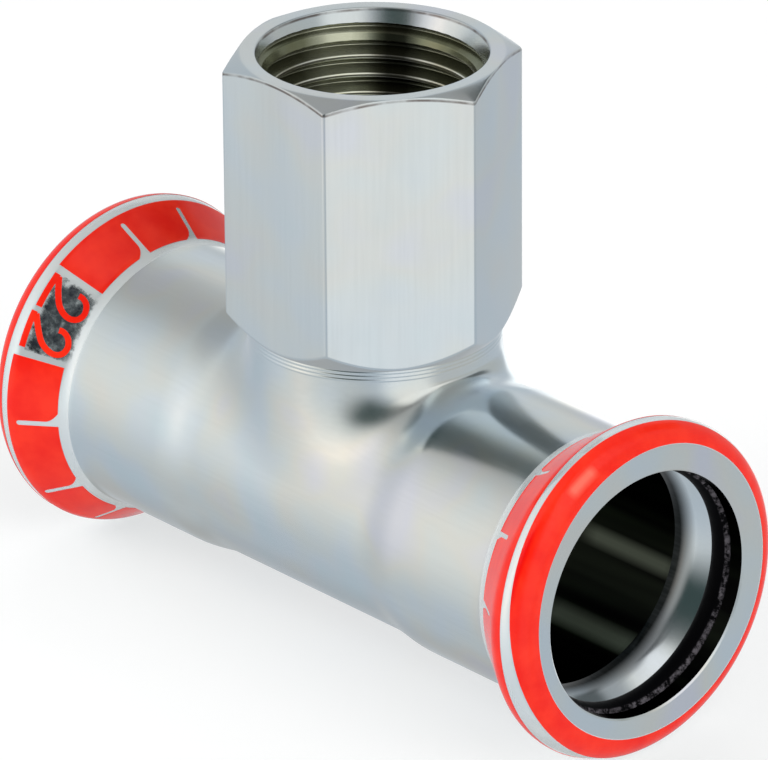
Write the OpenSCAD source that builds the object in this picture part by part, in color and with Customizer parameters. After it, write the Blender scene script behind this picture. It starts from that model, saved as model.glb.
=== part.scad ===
// Press tee with an inside-threaded branch: a drawn steel run with a press socket at each end,
// a pulled neck in the middle and a hexagonal thread socket welded on the neck.
// The run lies along X and the branch points up Z. The origin is where the two axes cross.

/* [Run] */
// Outside diameter of the pipe that each end takes
pipe_od = 22; // [21.6:0.1:22.4]
// Play between the pipe and the guide bore, on the diameter
socket_play = 0.6; // [0.5:0.1:0.8]
// Wall thickness of the drawn tube
wall = 1.6; // [1.5:0.05:1.7]
// Length over both mouths
run_length = 73.4; // [70:0.2:80]
// Depth that the pipe goes in, from the mouth to the stop
insertion = 21; // [19:0.5:22]
// Height of the pipe stop, on the radius
stop_step = 0.5; // [0.45:0.05:0.6]

/* [Bead] */
// Height of the bead's crown over the socket
bead_rise = 3.1; // [3:0.05:3.3]
// Outside rounding of the crown
bead_round = 2.2; // [2.1:0.05:2.3]
// Slope of the bead's back, from the axis
bead_slope = 33; // [31:0.5:35]
// Hollow rounding where the bead's back meets the tube
foot_round = 3; // [2.5:0.1:3.5]
// How much wider the mouth's lip is than the guide bore, on the radius
lip_gap = 0.4; // [0.3:0.05:0.5]
// How far the seal ring stands into the guide bore
seal_reach = 0.2; // [0.1:0.05:0.22]
// How much the seal ring is pressed flat where it seats
seal_squeeze = 0.06; // [0.04:0.01:0.08]

/* [Indicator foil] */
// Thickness of the clear foil
foil_t = 0.12; // [0.1:0.01:0.15]
// Thickness of the red print on the foil
print_t = 0.06; // [0.05:0.01:0.08]
// Where the front band ends, behind the mouth
front_band_end = 1.5; // [1.3:0.1:1.6]
// Where the rear band starts, behind the mouth
rear_band_start = 3; // [2.8:0.1:3.4]
// Where the rear band ends, behind the mouth
rear_band_end = 7; // [6.8:0.1:7.4]
// Where the foil ends, behind the mouth
foil_end = 8; // [7.7:0.1:8.3]
// Width of a slit between two flaps
slit_w = 0.4; // [0.3:0.05:0.5]

/* [Neck] */
// How much smaller the pulled neck is than the middle of the run, on the radius
neck_inset = 0.7; // [0.5:0.05:1.5]
// Height of the neck's end over the top of the run
neck_rise = 1.5; // [1.4:0.1:2]
// How far the blend between neck and run reaches along the run
saddle_reach = 5; // [4:0.25:6]
// Height of the weld ring between the neck and the thread socket
weld_h = 1.1; // [1:0.1:1.4]
// Height of the weld's ridges
ridge_h = 0.15; // [0.1:0.01:0.18]

/* [Thread socket] */
// How far the hexagon's flats stand out past the neck
flat_proud = 0.3; // [0.2:0.05:1.8]
// Height of the socket's top over the run's axis
branch_h = 41.5; // [40:0.5:46]
// Slope of the top chamfer, from the top face
top_chamfer = 26; // [20:1:30]
// Bore of the thread, at its crests
thread_minor = 18.631; // [18.631]
// Length of the thread
thread_length = 15; // [13:0.5:16]
// Diameter of the countersunk mouth over the thread
mouth_d = 21.3; // [21:0.1:21.6]
// Slope of the countersunk mouth, from the branch's axis
mouth_slope = 22; // [18:1:30]
// Plain bore under the thread
plain_d = 18; // [17.5:0.1:18.4]

/* [Hidden] */
$fn = 96;
arc_step = 7.5;

// Run
half = run_length / 2;
guide_r = (pipe_od + socket_play) / 2;
tube_r = guide_r + wall;
middle_bore_r = guide_r - stop_step;
middle_r = middle_bore_r + wall;
stop_x = half - insertion;
stop_ramp = 1.2;
step_out = 0.8;
step_length = 5;
step_points = 8;

// Bead
crown_r = tube_r + bead_rise;
lip_r = guide_r + lip_gap;
lip_edge = 0.15;
bead_centre = [bead_round, crown_r - bead_round];
foot_centre = [
    bead_centre.x + (bead_round + foot_round
        - (tube_r + foot_round - bead_centre.y) * cos(bead_slope)) / sin(bead_slope),
    tube_r + foot_round
];

// The ring touches the front wall, the back wall and the seal's bore, which sets its section.
seal_r = guide_r - seal_reach;
back_wall_reach = bead_centre.y + (bead_round - wall) / cos(bead_slope)
    + (bead_centre.x - wall) * tan(bead_slope);
seal_section_r = (back_wall_reach - seal_r) / (1 + tan(bead_slope) + 1 / cos(bead_slope));
seal_centre = [wall + seal_section_r, seal_r + seal_section_r];

// Foil
foil_lap = 0.17;
foil_front_r = bead_centre.y + foil_lap;
slit_bridge = 0.8;
slit_start = rear_band_start + slit_bridge;
slit_flare_w = 1.3;
slit_flare_l = 1.2;
window_low = -71.5;
window_high = -37.5;
seen_slits = [15, -11, -96, -128, -156];
back_slit = 42;
back_pitch = 26.8;
back_count = 6;
left_slits = concat(seen_slits, [for (i = [0:back_count - 1]) back_slit + back_pitch * i]);
right_flaps = 13;
right_slit = 164;
right_slits = [for (i = [0:right_flaps - 3]) right_slit + i * 360 / right_flaps];
right_window_turn = 177.5;

// Neck and thread socket
neck_r = middle_r - neck_inset;
neck_bore_r = neck_r - wall;
neck_top = middle_r + neck_rise;
neck_straight = 0.6;
saddle_sides = 72;
saddle_rows = 8;
saddle_margin = 9.4;
bury = 0.15;
weld_top = neck_top + weld_h;
ridges = 3;
ridge_points = 6;
flat_r = neck_r + flat_proud;
hex_r = flat_r / cos(30);
chamfer_land = 0.1;
hex_foot_r = neck_r + chamfer_land;
chamfer_r = flat_r + chamfer_land;
thread_r = thread_minor / 2;
thread_top = branch_h - (mouth_d / 2 - thread_r) / tan(mouth_slope);
thread_bottom = thread_top - thread_length;
runout = 0.6;
over = 1;

ZINC = [0.74, 0.77, 0.78];
RED = [0.93, 0.2, 0.1];
CLEAR = [0.85, 0.9, 0.92, 0.45];
RUBBER = [0.05, 0.05, 0.05];

// Outline of a bead from its front face back to the tube, set outwards by off.
// Each point is [distance behind the mouth, radius].
function bead_outline(off) = concat(
    [for (a = [0:arc_step:90 + bead_slope])
        bead_centre + (bead_round + off) * [-cos(a), sin(a)]],
    [bead_centre + (bead_round + off) * [sin(bead_slope), cos(bead_slope)]],
    [for (a = [bead_slope:-arc_step:0]) foot_centre - (foot_round - off) * [sin(a), cos(a)]],
    [[foot_centre.x, tube_r + off]]
);

// A smooth step in radius between two places on the run, as a half wave.
function smooth_step(x1, r1, x2, r2) = [for (i = [0:step_points])
    let (u = i / step_points) [x1 + (x2 - x1) * u, r1 + (r2 - r1) * (1 - cos(180 * u)) / 2]];

function backwards(points) = [for (i = [len(points) - 1:-1:0]) points[i]];
function from_mouth(points) = [for (p = points) [half - p.x, p.y]];
function both_ends(points) = concat(points, backwards([for (p = points) [-p.x, p.y]]));

run_outside = concat(
    from_mouth(bead_outline(0)),
    smooth_step(stop_x + step_out, tube_r, stop_x + step_out - step_length, middle_r)
);
chamber = concat(
    [[wall, lip_r]],
    bead_outline(-wall)
);
run_inside = concat(
    [[half + over, 0], [half + over, lip_r + lip_edge], [half, lip_r + lip_edge],
        [half - lip_edge, lip_r]],
    from_mouth(chamber),
    smooth_step(stop_x, guide_r, stop_x - stop_ramp, middle_bore_r)
);

// Turns an outline given as [place along X, radius] about the X axis.
module turned_on_run(points) {
    rotate([90, 0, 90]) rotate_extrude() polygon([for (p = points) [p.y, p.x]]);
}

// One point of the blend between a neck and a run: a curve that leaves the neck upright and
// lands flat on the run. t goes round the neck, and u goes from the neck (0) to the run (1).
function blend_point(run_r, collar_r, reach, top, sink, t, u) =
    let (
        turn = (asin(collar_r / run_r) + saddle_margin) * sin(t),
        low = [(collar_r + reach) * cos(t), (run_r - bury) * sin(turn), (run_r - bury) * cos(turn)],
        way = atan2(low.y, low.x),
        high = [(collar_r - sink) * cos(way), (collar_r - sink) * sin(way), top],
        corner = [high.x, high.y, (run_r - high.y * sin(turn)) / cos(turn)]
    )
    high * (1 - u) * (1 - u) + corner * 2 * u * (1 - u) + low * u * u;

// The blend as a closed solid that goes down to the origin inside the run.
module saddle(run_r, collar_r, reach, top, blend_top, sink) {
    rows = [for (k = [0:saddle_rows]) [for (i = [0:saddle_sides - 1])
        blend_point(run_r, collar_r, reach, blend_top, sink, 360 * i / saddle_sides, k / saddle_rows)]];
    rim = [for (p = rows[0]) [p.x, p.y, top]];
    points = concat([for (row = concat([rim], rows)) each row], [[0, 0, 0]]);
    tip = len(points) - 1;
    last = saddle_rows + 1;
    function at(k, i) = k * saddle_sides + i % saddle_sides;
    faces = concat(
        [[for (i = [saddle_sides - 1:-1:0]) at(0, i)]],
        [for (k = [0:last - 1], i = [0:saddle_sides - 1]) [at(k, i), at(k, i + 1), at(k + 1, i + 1)]],
        [for (k = [0:last - 1], i = [0:saddle_sides - 1]) [at(k, i), at(k + 1, i + 1), at(k + 1, i)]],
        [for (i = [0:saddle_sides - 1]) [at(last, i), at(last, i + 1), tip]]
    );
    polyhedron(points, faces);
}

module tee_body() {
    color(ZINC) difference() {
        union() {
            turned_on_run(both_ends(concat([[half, 0], [half, bead_centre.y]], run_outside)));
            saddle(middle_r, neck_r, saddle_reach, neck_top, neck_top - neck_straight, 0);
        }
        turned_on_run(both_ends(run_inside));
        saddle(middle_bore_r, neck_bore_r, saddle_reach, neck_top, neck_top - neck_straight - wall, bury);
        cylinder(r = neck_bore_r, h = neck_top + over);
    }
}

module neck_weld() {
    wave = [for (i = [0:ridges * ridge_points])
        let (u = i / (ridges * ridge_points))
        [neck_r + ridge_h * (1 - cos(360 * ridges * u)) / 2, neck_top + weld_h * u]];
    color(ZINC) rotate_extrude()
        polygon(concat([[neck_bore_r, neck_top]], wave, [[neck_bore_r, weld_top]]));
}

module threaded_socket() {
    foot_rise = hex_r + over - hex_foot_r;
    top_drop = (hex_r + over - chamfer_r) * tan(top_chamfer);
    color(ZINC) difference() {
        intersection() {
            translate([0, 0, weld_top]) linear_extrude(branch_h - weld_top) circle(hex_r, $fn = 6);
            rotate_extrude() polygon([
                [0, weld_top], [hex_foot_r, weld_top], [hex_r + over, weld_top + foot_rise],
                [hex_r + over, branch_h - top_drop], [chamfer_r, branch_h], [0, branch_h]
            ]);
        }
        rotate_extrude() polygon([
            [0, weld_top - over], [plain_d / 2, weld_top - over],
            [plain_d / 2, thread_bottom - runout], [thread_r, thread_bottom],
            [thread_r, thread_top], [mouth_d / 2, branch_h],
            [mouth_d / 2, branch_h + over], [0, branch_h + over]
        ]);
    }
}

// A ring of round section, pressed flat against the chamber's front and back walls.
module seal_ring() {
    color(RUBBER) rotate([90, 0, 90]) rotate_extrude() intersection() {
        translate([seal_centre.y, half - seal_centre.x]) circle(seal_section_r + seal_squeeze);
        polygon(concat(
            [[seal_r, half - wall], [seal_r, half - foot_centre.x]],
            backwards([for (p = from_mouth(bead_outline(-wall))) [p.y, p.x]])
        ));
    }
}

// A thin skin over the bead between two heights over the metal, cut off before and behind.
module skin(low, high, from, to, least_r) {
    shell = concat(bead_outline(high), backwards(bead_outline(low)));
    rotate([90, 0, 90]) rotate_extrude() intersection() {
        polygon([for (p = from_mouth(shell)) [p.y, p.x]]);
        translate([least_r, half - to]) square([crown_r, to - from]);
    }
}

module foil() {
    color(CLEAR) skin(0, foil_t, -foil_t, foil_end, foil_front_r);
}

// A slit between two flaps. Near the tube it widens on one side and runs past the band's end.
module slit(side) {
    reach = slit_flare_l + over;
    flare = (slit_flare_w - slit_w) * reach / slit_flare_l;
    flare_start = half - rear_band_end + slit_flare_l;
    shape = [[half - slit_start, slit_w / 2], [flare_start, slit_w / 2],
        [flare_start - reach, slit_w / 2 + flare], [flare_start - reach, -slit_w / 2],
        [half - slit_start, -slit_w / 2]];
    linear_extrude(crown_r + over) polygon([for (p = shape) [p.x, side * p.y]]);
}

// The gap in the rear band where the size mark is.
module window() {
    far = 2 * crown_r;
    translate([half - foil_end, 0, 0]) rotate([90, 0, 90]) linear_extrude(foil_end - rear_band_start + foil_t)
        polygon([[0, 0], far * [sin(window_low), cos(window_low)],
            far * [sin(window_high), cos(window_high)]]);
}

// The slits widen on the side that faces the window.
module indicator_print(slits, window_turn) {
    window_middle = (window_low + window_high) / 2 - window_turn;
    color(RED) {
        skin(foil_t, foil_t + print_t, -foil_t - print_t, front_band_end, foil_front_r);
        difference() {
            skin(foil_t, foil_t + print_t, rear_band_start, rear_band_end, tube_r);
            for (a = slits) rotate([-a, 0, 0]) slit(sin(a - window_middle) > 0 ? -1 : 1);
            rotate([window_turn, 0, 0]) window();
        }
    }
}

module seal_ring_left() { mirror([1, 0, 0]) seal_ring(); }
module seal_ring_right() { seal_ring(); }
module foil_left() { mirror([1, 0, 0]) foil(); }
module foil_right() { foil(); }
module print_left() { mirror([1, 0, 0]) indicator_print(left_slits, 0); }
module print_right() { indicator_print(right_slits, right_window_turn); }

tee_body();
neck_weld();
threaded_socket();
seal_ring_left();
seal_ring_right();
foil_left();
foil_right();
print_left();
print_right();
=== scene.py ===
"""Dresses a press tee: a drawn steel run, a welded thread socket, seal rings and printed foils.

Sizes are in millimetres and become metres when a mesh is made. The run lies along X, the branch
points up Z, and an angle round the run goes from +Z towards +Y. A place near a mouth is given by
its distance behind that mouth and its radius from the run's axis.
"""

import logging
import math
from dataclasses import dataclass, field
from enum import Enum
from typing import Sequence

import bpy
import numpy as np
from mathutils import Matrix, Vector


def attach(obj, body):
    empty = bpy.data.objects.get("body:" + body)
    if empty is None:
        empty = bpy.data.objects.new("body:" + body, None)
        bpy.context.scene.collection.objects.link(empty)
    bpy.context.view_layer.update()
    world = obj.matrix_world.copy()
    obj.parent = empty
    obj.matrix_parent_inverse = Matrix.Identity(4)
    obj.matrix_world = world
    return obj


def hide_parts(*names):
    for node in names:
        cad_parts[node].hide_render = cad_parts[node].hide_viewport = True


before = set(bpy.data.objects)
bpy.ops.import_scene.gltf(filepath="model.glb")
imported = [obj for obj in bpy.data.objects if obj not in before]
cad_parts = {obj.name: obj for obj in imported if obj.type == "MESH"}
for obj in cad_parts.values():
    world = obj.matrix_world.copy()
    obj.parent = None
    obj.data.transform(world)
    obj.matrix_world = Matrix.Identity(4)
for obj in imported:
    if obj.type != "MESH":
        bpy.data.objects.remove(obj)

MM = 0.001
BODY = "root"
LOG = logging.getLogger("press_tee")

# A near-black colour painted on metal as shade, where no light reaches.
UNLIT = (0.01, 0.012, 0.012, 1.0)

Socket = bpy.types.NodeSocket
Pair = tuple[float, float]
Triple = tuple[float, float, float]
Colour = tuple[float, float, float]


class Grain(Enum):
    """The way in which the fine lines of a metal surface run, as a scale along X, Y and Z."""

    ALONG_RUN = (0.035, 1.0, 1.0)
    UPRIGHT = (1.0, 1.0, 0.03)


class End(Enum):
    """One end of the run, by the sign of X."""

    LEFT = -1
    RIGHT = 1


@dataclass
class Surface:
    """Points in millimetres and the quads between them, with a finish number for each quad.

    Attributes:
        points: The points, count x 3.
        quads: Four point numbers for each quad.
        finish: The finish number of each quad.
    """

    points: np.ndarray
    quads: np.ndarray
    finish: np.ndarray

    @staticmethod
    def grid(points: np.ndarray, closed: bool = True, flip: bool = False,
             keep: np.ndarray | None = None, finish: int | np.ndarray = 0) -> "Surface":
        """Makes a surface from a grid: quad (i, j) lies between rows i, i+1 and columns j, j+1.

        Args:
            points: The grid, of shape rows x columns x 3.
            closed: Whether the last column joins the first.
            flip: Whether the quads are turned over.
            keep: Which quads are made, rows x columns, or all of them.
            finish: A finish number for all quads, for each row of quads, or for each quad.

        Returns:
            The surface.
        """
        rows, cols = points.shape[:2]
        across = cols if closed else cols - 1
        i, j = np.meshgrid(np.arange(rows - 1), np.arange(across), indexing="ij")
        right = (j + 1) % cols
        quads = np.stack([i * cols + j, (i + 1) * cols + j,
                          (i + 1) * cols + right, i * cols + right], -1)
        marks = finish if np.ndim(finish) == 2 else np.reshape(finish, (-1, 1))
        if flip:
            quads = quads[..., ::-1]
        chosen = np.ones(i.shape, bool) if keep is None else keep
        return Surface(points.reshape(-1, 3), quads[chosen],
                       np.broadcast_to(marks, i.shape)[chosen])

    @staticmethod
    def joined(parts: Sequence["Surface"]) -> "Surface":
        """Joins surfaces and makes one point of points that lie within 0.0001 mm of each other.

        Args:
            parts: The surfaces.

        Returns:
            One surface, without quads that have lost their area.
        """
        shift = np.cumsum([0] + [len(p.points) for p in parts[:-1]])
        points = np.concatenate([p.points for p in parts])
        quads = np.concatenate([p.quads + s for p, s in zip(parts, shift)])
        finish = np.concatenate([p.finish for p in parts])
        _, first, same = np.unique(np.round(points, 4), axis=0,
                                   return_index=True, return_inverse=True)
        quads = same.reshape(-1)[quads]
        whole = np.all(quads != np.roll(quads, 1, axis=1), axis=1)
        return Surface(points[first], quads[whole], finish[whole])

    def piece(self, name: str, materials: Sequence[bpy.types.Material],
              sharp: float = 35.0) -> bpy.types.Object:
        """Puts the surface into a mesh object at the origin.

        Args:
            name: The piece's name.
            materials: One material for each finish number.
            sharp: The angle in degrees over which an edge is sharp.

        Returns:
            The object, linked to the scene.
        """
        mesh = bpy.data.meshes.new(name)
        mesh.vertices.add(len(self.points))
        mesh.vertices.foreach_set("co", (self.points * MM).astype(np.float32).ravel())
        mesh.loops.add(self.quads.size)
        mesh.loops.foreach_set("vertex_index", self.quads.astype(np.int32).ravel())
        mesh.polygons.add(len(self.quads))
        starts = np.arange(0, self.quads.size, 4, dtype=np.int32)
        mesh.polygons.foreach_set("loop_start", starts)
        for material in materials:
            mesh.materials.append(material)
        mesh.polygons.foreach_set("material_index", self.finish.astype(np.int32))
        mesh.update(calc_edges=True)
        mesh.validate()
        mesh.polygons.foreach_set("use_smooth", np.ones(len(mesh.polygons), bool))
        mesh.set_sharp_from_angle(angle=math.radians(sharp))
        piece = bpy.data.objects.new(name, mesh)
        bpy.context.scene.collection.objects.link(piece)
        return piece


def polar(x: np.ndarray, radius: np.ndarray, turn: np.ndarray) -> np.ndarray:
    """Gives points round the run, (x, radius sin turn, radius cos turn), turn in radians."""
    x, radius, turn = np.broadcast_arrays(x, radius, turn)
    return np.stack([x, radius * np.sin(turn), radius * np.cos(turn)], -1)


def upright(radius: np.ndarray, turn: np.ndarray, z: np.ndarray) -> np.ndarray:
    """Gives points round the branch, (radius cos turn, radius sin turn, z), turn in radians."""
    radius, turn, z = np.broadcast_arrays(radius, turn, z)
    return np.stack([radius * np.cos(turn), radius * np.sin(turn), z], -1)


def half_wave(x: np.ndarray, x1: float, r1: float, x2: float, r2: float) -> np.ndarray:
    """Steps from r1 at x1 to r2 at x2: r1 + (r2 - r1) (1 - cos(pi u)) / 2, u from 0 to 1."""
    u = np.clip((x - x1) / (x2 - x1), 0, 1)
    return r1 + (r2 - r1) * (1 - np.cos(np.pi * u)) / 2


def rounded(corners: np.ndarray, trims: Sequence[float], samples: int = 5,
            most: float = 0.45) -> np.ndarray:
    """Rounds the inner corners of polylines with a quadratic curve from one side to the other.

    Each corner c with trim t becomes a (1-u)^2 + 2 c u (1-u) + b u^2, where a and b lie t along
    the two sides from c.

    Args:
        corners: Polylines, of shape lines x corners x dimensions.
        trims: How far each inner corner is cut back, in millimetres.
        samples: Points on each rounded corner.
        most: The largest share of a side that is cut back.

    Returns:
        The polylines with more points, lines x points x dimensions.
    """
    out = [corners[:, :1]]
    u = np.linspace(0, 1, samples)[None, :, None]
    for k, trim in enumerate(trims, start=1):
        here = corners[:, k]
        ends = []
        for other in (corners[:, k - 1], corners[:, k + 1]):
            side = other - here
            length = np.maximum(np.linalg.norm(side, axis=-1, keepdims=True), 1e-6)
            ends.append(here + side / length * np.minimum(trim, most * length))
        a, c, b = ends[0][:, None], here[:, None], ends[1][:, None]
        out.append(a * (1 - u) ** 2 + 2 * c * u * (1 - u) + b * u ** 2)
    out.append(corners[:, -1:])
    return np.concatenate(out, axis=1)


def direction(azimuth: float, elevation: float) -> Vector:
    """Gives the unit vector towards a place seen from the tee.

    It is (sin a cos e, -cos a cos e, sin e).

    Args:
        azimuth: The way round from the front, in radians.
        elevation: The height over the horizon, in radians.

    Returns:
        The vector.
    """
    level = math.cos(elevation)
    return Vector((math.sin(azimuth) * level, -math.cos(azimuth) * level, math.sin(elevation)))


class Graph:
    """A short way to build the nodes of a material or of the world."""

    def __init__(self, owner: bpy.types.Material | bpy.types.World) -> None:
        """Starts without nodes on the owner.

        Args:
            owner: The material or the world.
        """
        owner.use_nodes = True
        self.owner = owner
        self.tree = owner.node_tree
        self.tree.nodes.clear()
        self.coords = self.add("ShaderNodeTexCoord")
        self.place = self.coords.outputs["Object"]

    @staticmethod
    def material(name: str) -> "Graph":
        """Starts an empty material of that name."""
        return Graph(bpy.data.materials.new(name))

    def add(self, kind: str, inputs: dict | None = None, **settings: object) -> bpy.types.Node:
        """Adds a node.

        Args:
            kind: The node's type.
            inputs: Values or sockets for its inputs, by name or number.
            settings: Properties of the node.

        Returns:
            The node.
        """
        node = self.tree.nodes.new(kind)
        for key, value in settings.items():
            setattr(node, key, value)
        for key, value in (inputs or {}).items():
            if isinstance(value, Socket):
                self.tree.links.new(value, node.inputs[key])
            else:
                node.inputs[key].default_value = value
        return node

    def math(self, operation: str, *values: float | Socket) -> Socket:
        """Adds a math node on the values and gives its result."""
        inputs = dict(enumerate(values))
        return self.add("ShaderNodeMath", inputs, operation=operation).outputs[0]

    def noise(self, scale: float, stretch: Triple = (1, 1, 1), detail: float = 3.0,
              rough: float = 0.5) -> Socket:
        """Adds noise in object space.

        Args:
            scale: Waves in a millimetre.
            stretch: Scale along each axis.
            detail: Octaves of finer noise.
            rough: Strength of the finer noise.

        Returns:
            The noise, about 0 to 1.
        """
        size = tuple(s * scale / MM for s in stretch)
        mapped = self.add("ShaderNodeMapping", {"Vector": self.place, "Scale": size})
        made = self.add("ShaderNodeTexNoise", {
            "Vector": mapped.outputs[0], "Scale": 1.0, "Detail": detail, "Roughness": rough})
        return made.outputs["Fac"]

    def ramp(self, value: Socket, stops: Sequence[tuple[float, Colour]]) -> Socket:
        """Adds a colour ramp.

        Args:
            value: What the ramp reads.
            stops: Places from 0 to 1 with a linear colour each.

        Returns:
            The ramp's colour.
        """
        node = self.add("ShaderNodeValToRGB", {"Fac": value})
        line = node.color_ramp.elements
        while len(line) < len(stops):
            line.new(0.5)
        for element, (at, colour) in zip(line, stops):
            element.position = at
            element.color = (*colour, 1.0)
        return node.outputs["Color"]

    def span(self, value: Socket, low: float, high: float, to_low: float = 0.0,
             to_high: float = 1.0) -> Socket:
        """Maps low..high to to_low..to_high, held at both ends, and gives the result."""
        inputs = {0: value, 1: low, 2: high, 3: to_low, 4: to_high}
        return self.add("ShaderNodeMapRange", inputs).outputs[0]

    def inside(self, value: Socket, low: float, high: float, soft: float) -> Socket:
        """Gives 1 between low and high and 0 outside, with soft borders inwards."""
        rise, fall = self.span(value, low, low + soft), self.span(value, high, high - soft)
        return self.math("MULTIPLY", rise, fall)

    def bump(self, height: Socket, depth: float, before: Socket | None = None) -> Socket:
        """Adds a bump.

        Args:
            height: The height, 0 to 1.
            depth: The height's size in millimetres.
            before: A normal to start from.

        Returns:
            The normal.
        """
        inputs = {"Height": height, "Distance": depth * MM}
        if before is not None:
            inputs["Normal"] = before
        return self.add("ShaderNodeBump", inputs).outputs[0]

    def blend(self, share: float | Socket, a: tuple | Socket, b: tuple | Socket,
              way: str = "MIX") -> Socket:
        """Mixes colour a with colour b by a share and gives the colour."""
        inputs = {0: share, 6: a, 7: b}
        return self.add("ShaderNodeMix", inputs, data_type="RGBA", blend_type=way).outputs[2]

    def along(self, axis: int = 0) -> Socket:
        """Gives the distance along an axis from the origin, in millimetres, with its sign."""
        split = self.add("ShaderNodeSeparateXYZ", {0: self.place})
        return self.math("MULTIPLY", split.outputs[axis], 1 / MM)

    def axis_radius(self, a: int, b: int) -> Socket:
        """Gives the distance from the axis that is square to axes a and b, in metres."""
        split = self.add("ShaderNodeSeparateXYZ", {0: self.place})
        squares = [self.math("POWER", split.outputs[axis], 2.0) for axis in (a, b)]
        return self.math("SQRT", self.math("ADD", *squares))

    def around(self, middle: float, branch: bool = False) -> Socket:
        """Gives how far round a point lies from the middle angle, in degrees.

        It is the arc cosine of the way to the middle angle times the point, over its radius.

        Args:
            middle: The angle round the run from +Z, or round the branch from +X.
            branch: Whether it goes round the branch.

        Returns:
            The angle between them, 0 to 180.
        """
        turn = math.radians(middle)
        c, s = math.cos(turn), math.sin(turn)
        way, axes = ((c, s, 0), (0, 1)) if branch else ((0, s, c), (1, 2))
        to = self.add("ShaderNodeVectorMath", {0: self.place, 1: way}, operation="DOT_PRODUCT")
        cosine = self.math("DIVIDE", to.outputs["Value"], self.axis_radius(*axes))
        return self.math("MULTIPLY", self.math("ARCCOSINE", cosine), 180 / math.pi)

    def finish(self, shader: bpy.types.Node,
               output: str = "ShaderNodeOutputMaterial") -> bpy.types.ID:
        """Sets the shader as the surface and gives the material or the world."""
        self.tree.links.new(shader.outputs[0], self.add(output).inputs["Surface"])
        return self.owner

    def principled(self, inputs: dict) -> bpy.types.Material:
        """Sets a Principled shader with these inputs as the surface and gives the material."""
        return self.finish(self.add("ShaderNodeBsdfPrincipled", inputs))


@dataclass(frozen=True)
class DirtLine:
    """The broken brown line of dirt where flats meet a chamfer that is a cone round the branch.

    Attributes:
        top: Height of the chamfer's upper end.
        radius: The chamfer's radius there.
        slope: Its slope, in radians from the level.
        drop: How far under the cone the line starts and ends.
        soft: How far its borders fade.
        share: How strong it is at its weakest and at its strongest.
        colour: Its colour.
    """

    top: float
    radius: float
    slope: float
    drop: Pair = (0.03, 0.35)
    soft: float = 0.12
    share: Pair = (0.25, 0.9)
    colour: Colour = (0.13, 0.10, 0.09)

    def over(self, g: Graph, tone: Socket) -> Socket:
        """Lays the line over a colour.

        The cone is z = top - (r - radius) tan(slope), and level inside its radius.

        Args:
            g: The material's graph.
            tone: The metal's colour.

        Returns:
            The colour with the dirt.
        """
        out = g.math("MAXIMUM", g.math("SUBTRACT", g.axis_radius(0, 1), self.radius * MM), 0.0)
        fall = g.math("MULTIPLY", out, math.tan(self.slope) / MM)
        drop = g.math("SUBTRACT", self.top, g.math("ADD", g.along(2), fall))
        broken = g.span(g.noise(0.5, detail=3.0), 0.35, 0.6, *self.share)
        line = g.inside(drop, *self.drop, self.soft)
        return g.blend(g.math("MULTIPLY", line, broken), tone, (*self.colour, 1.0))


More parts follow.
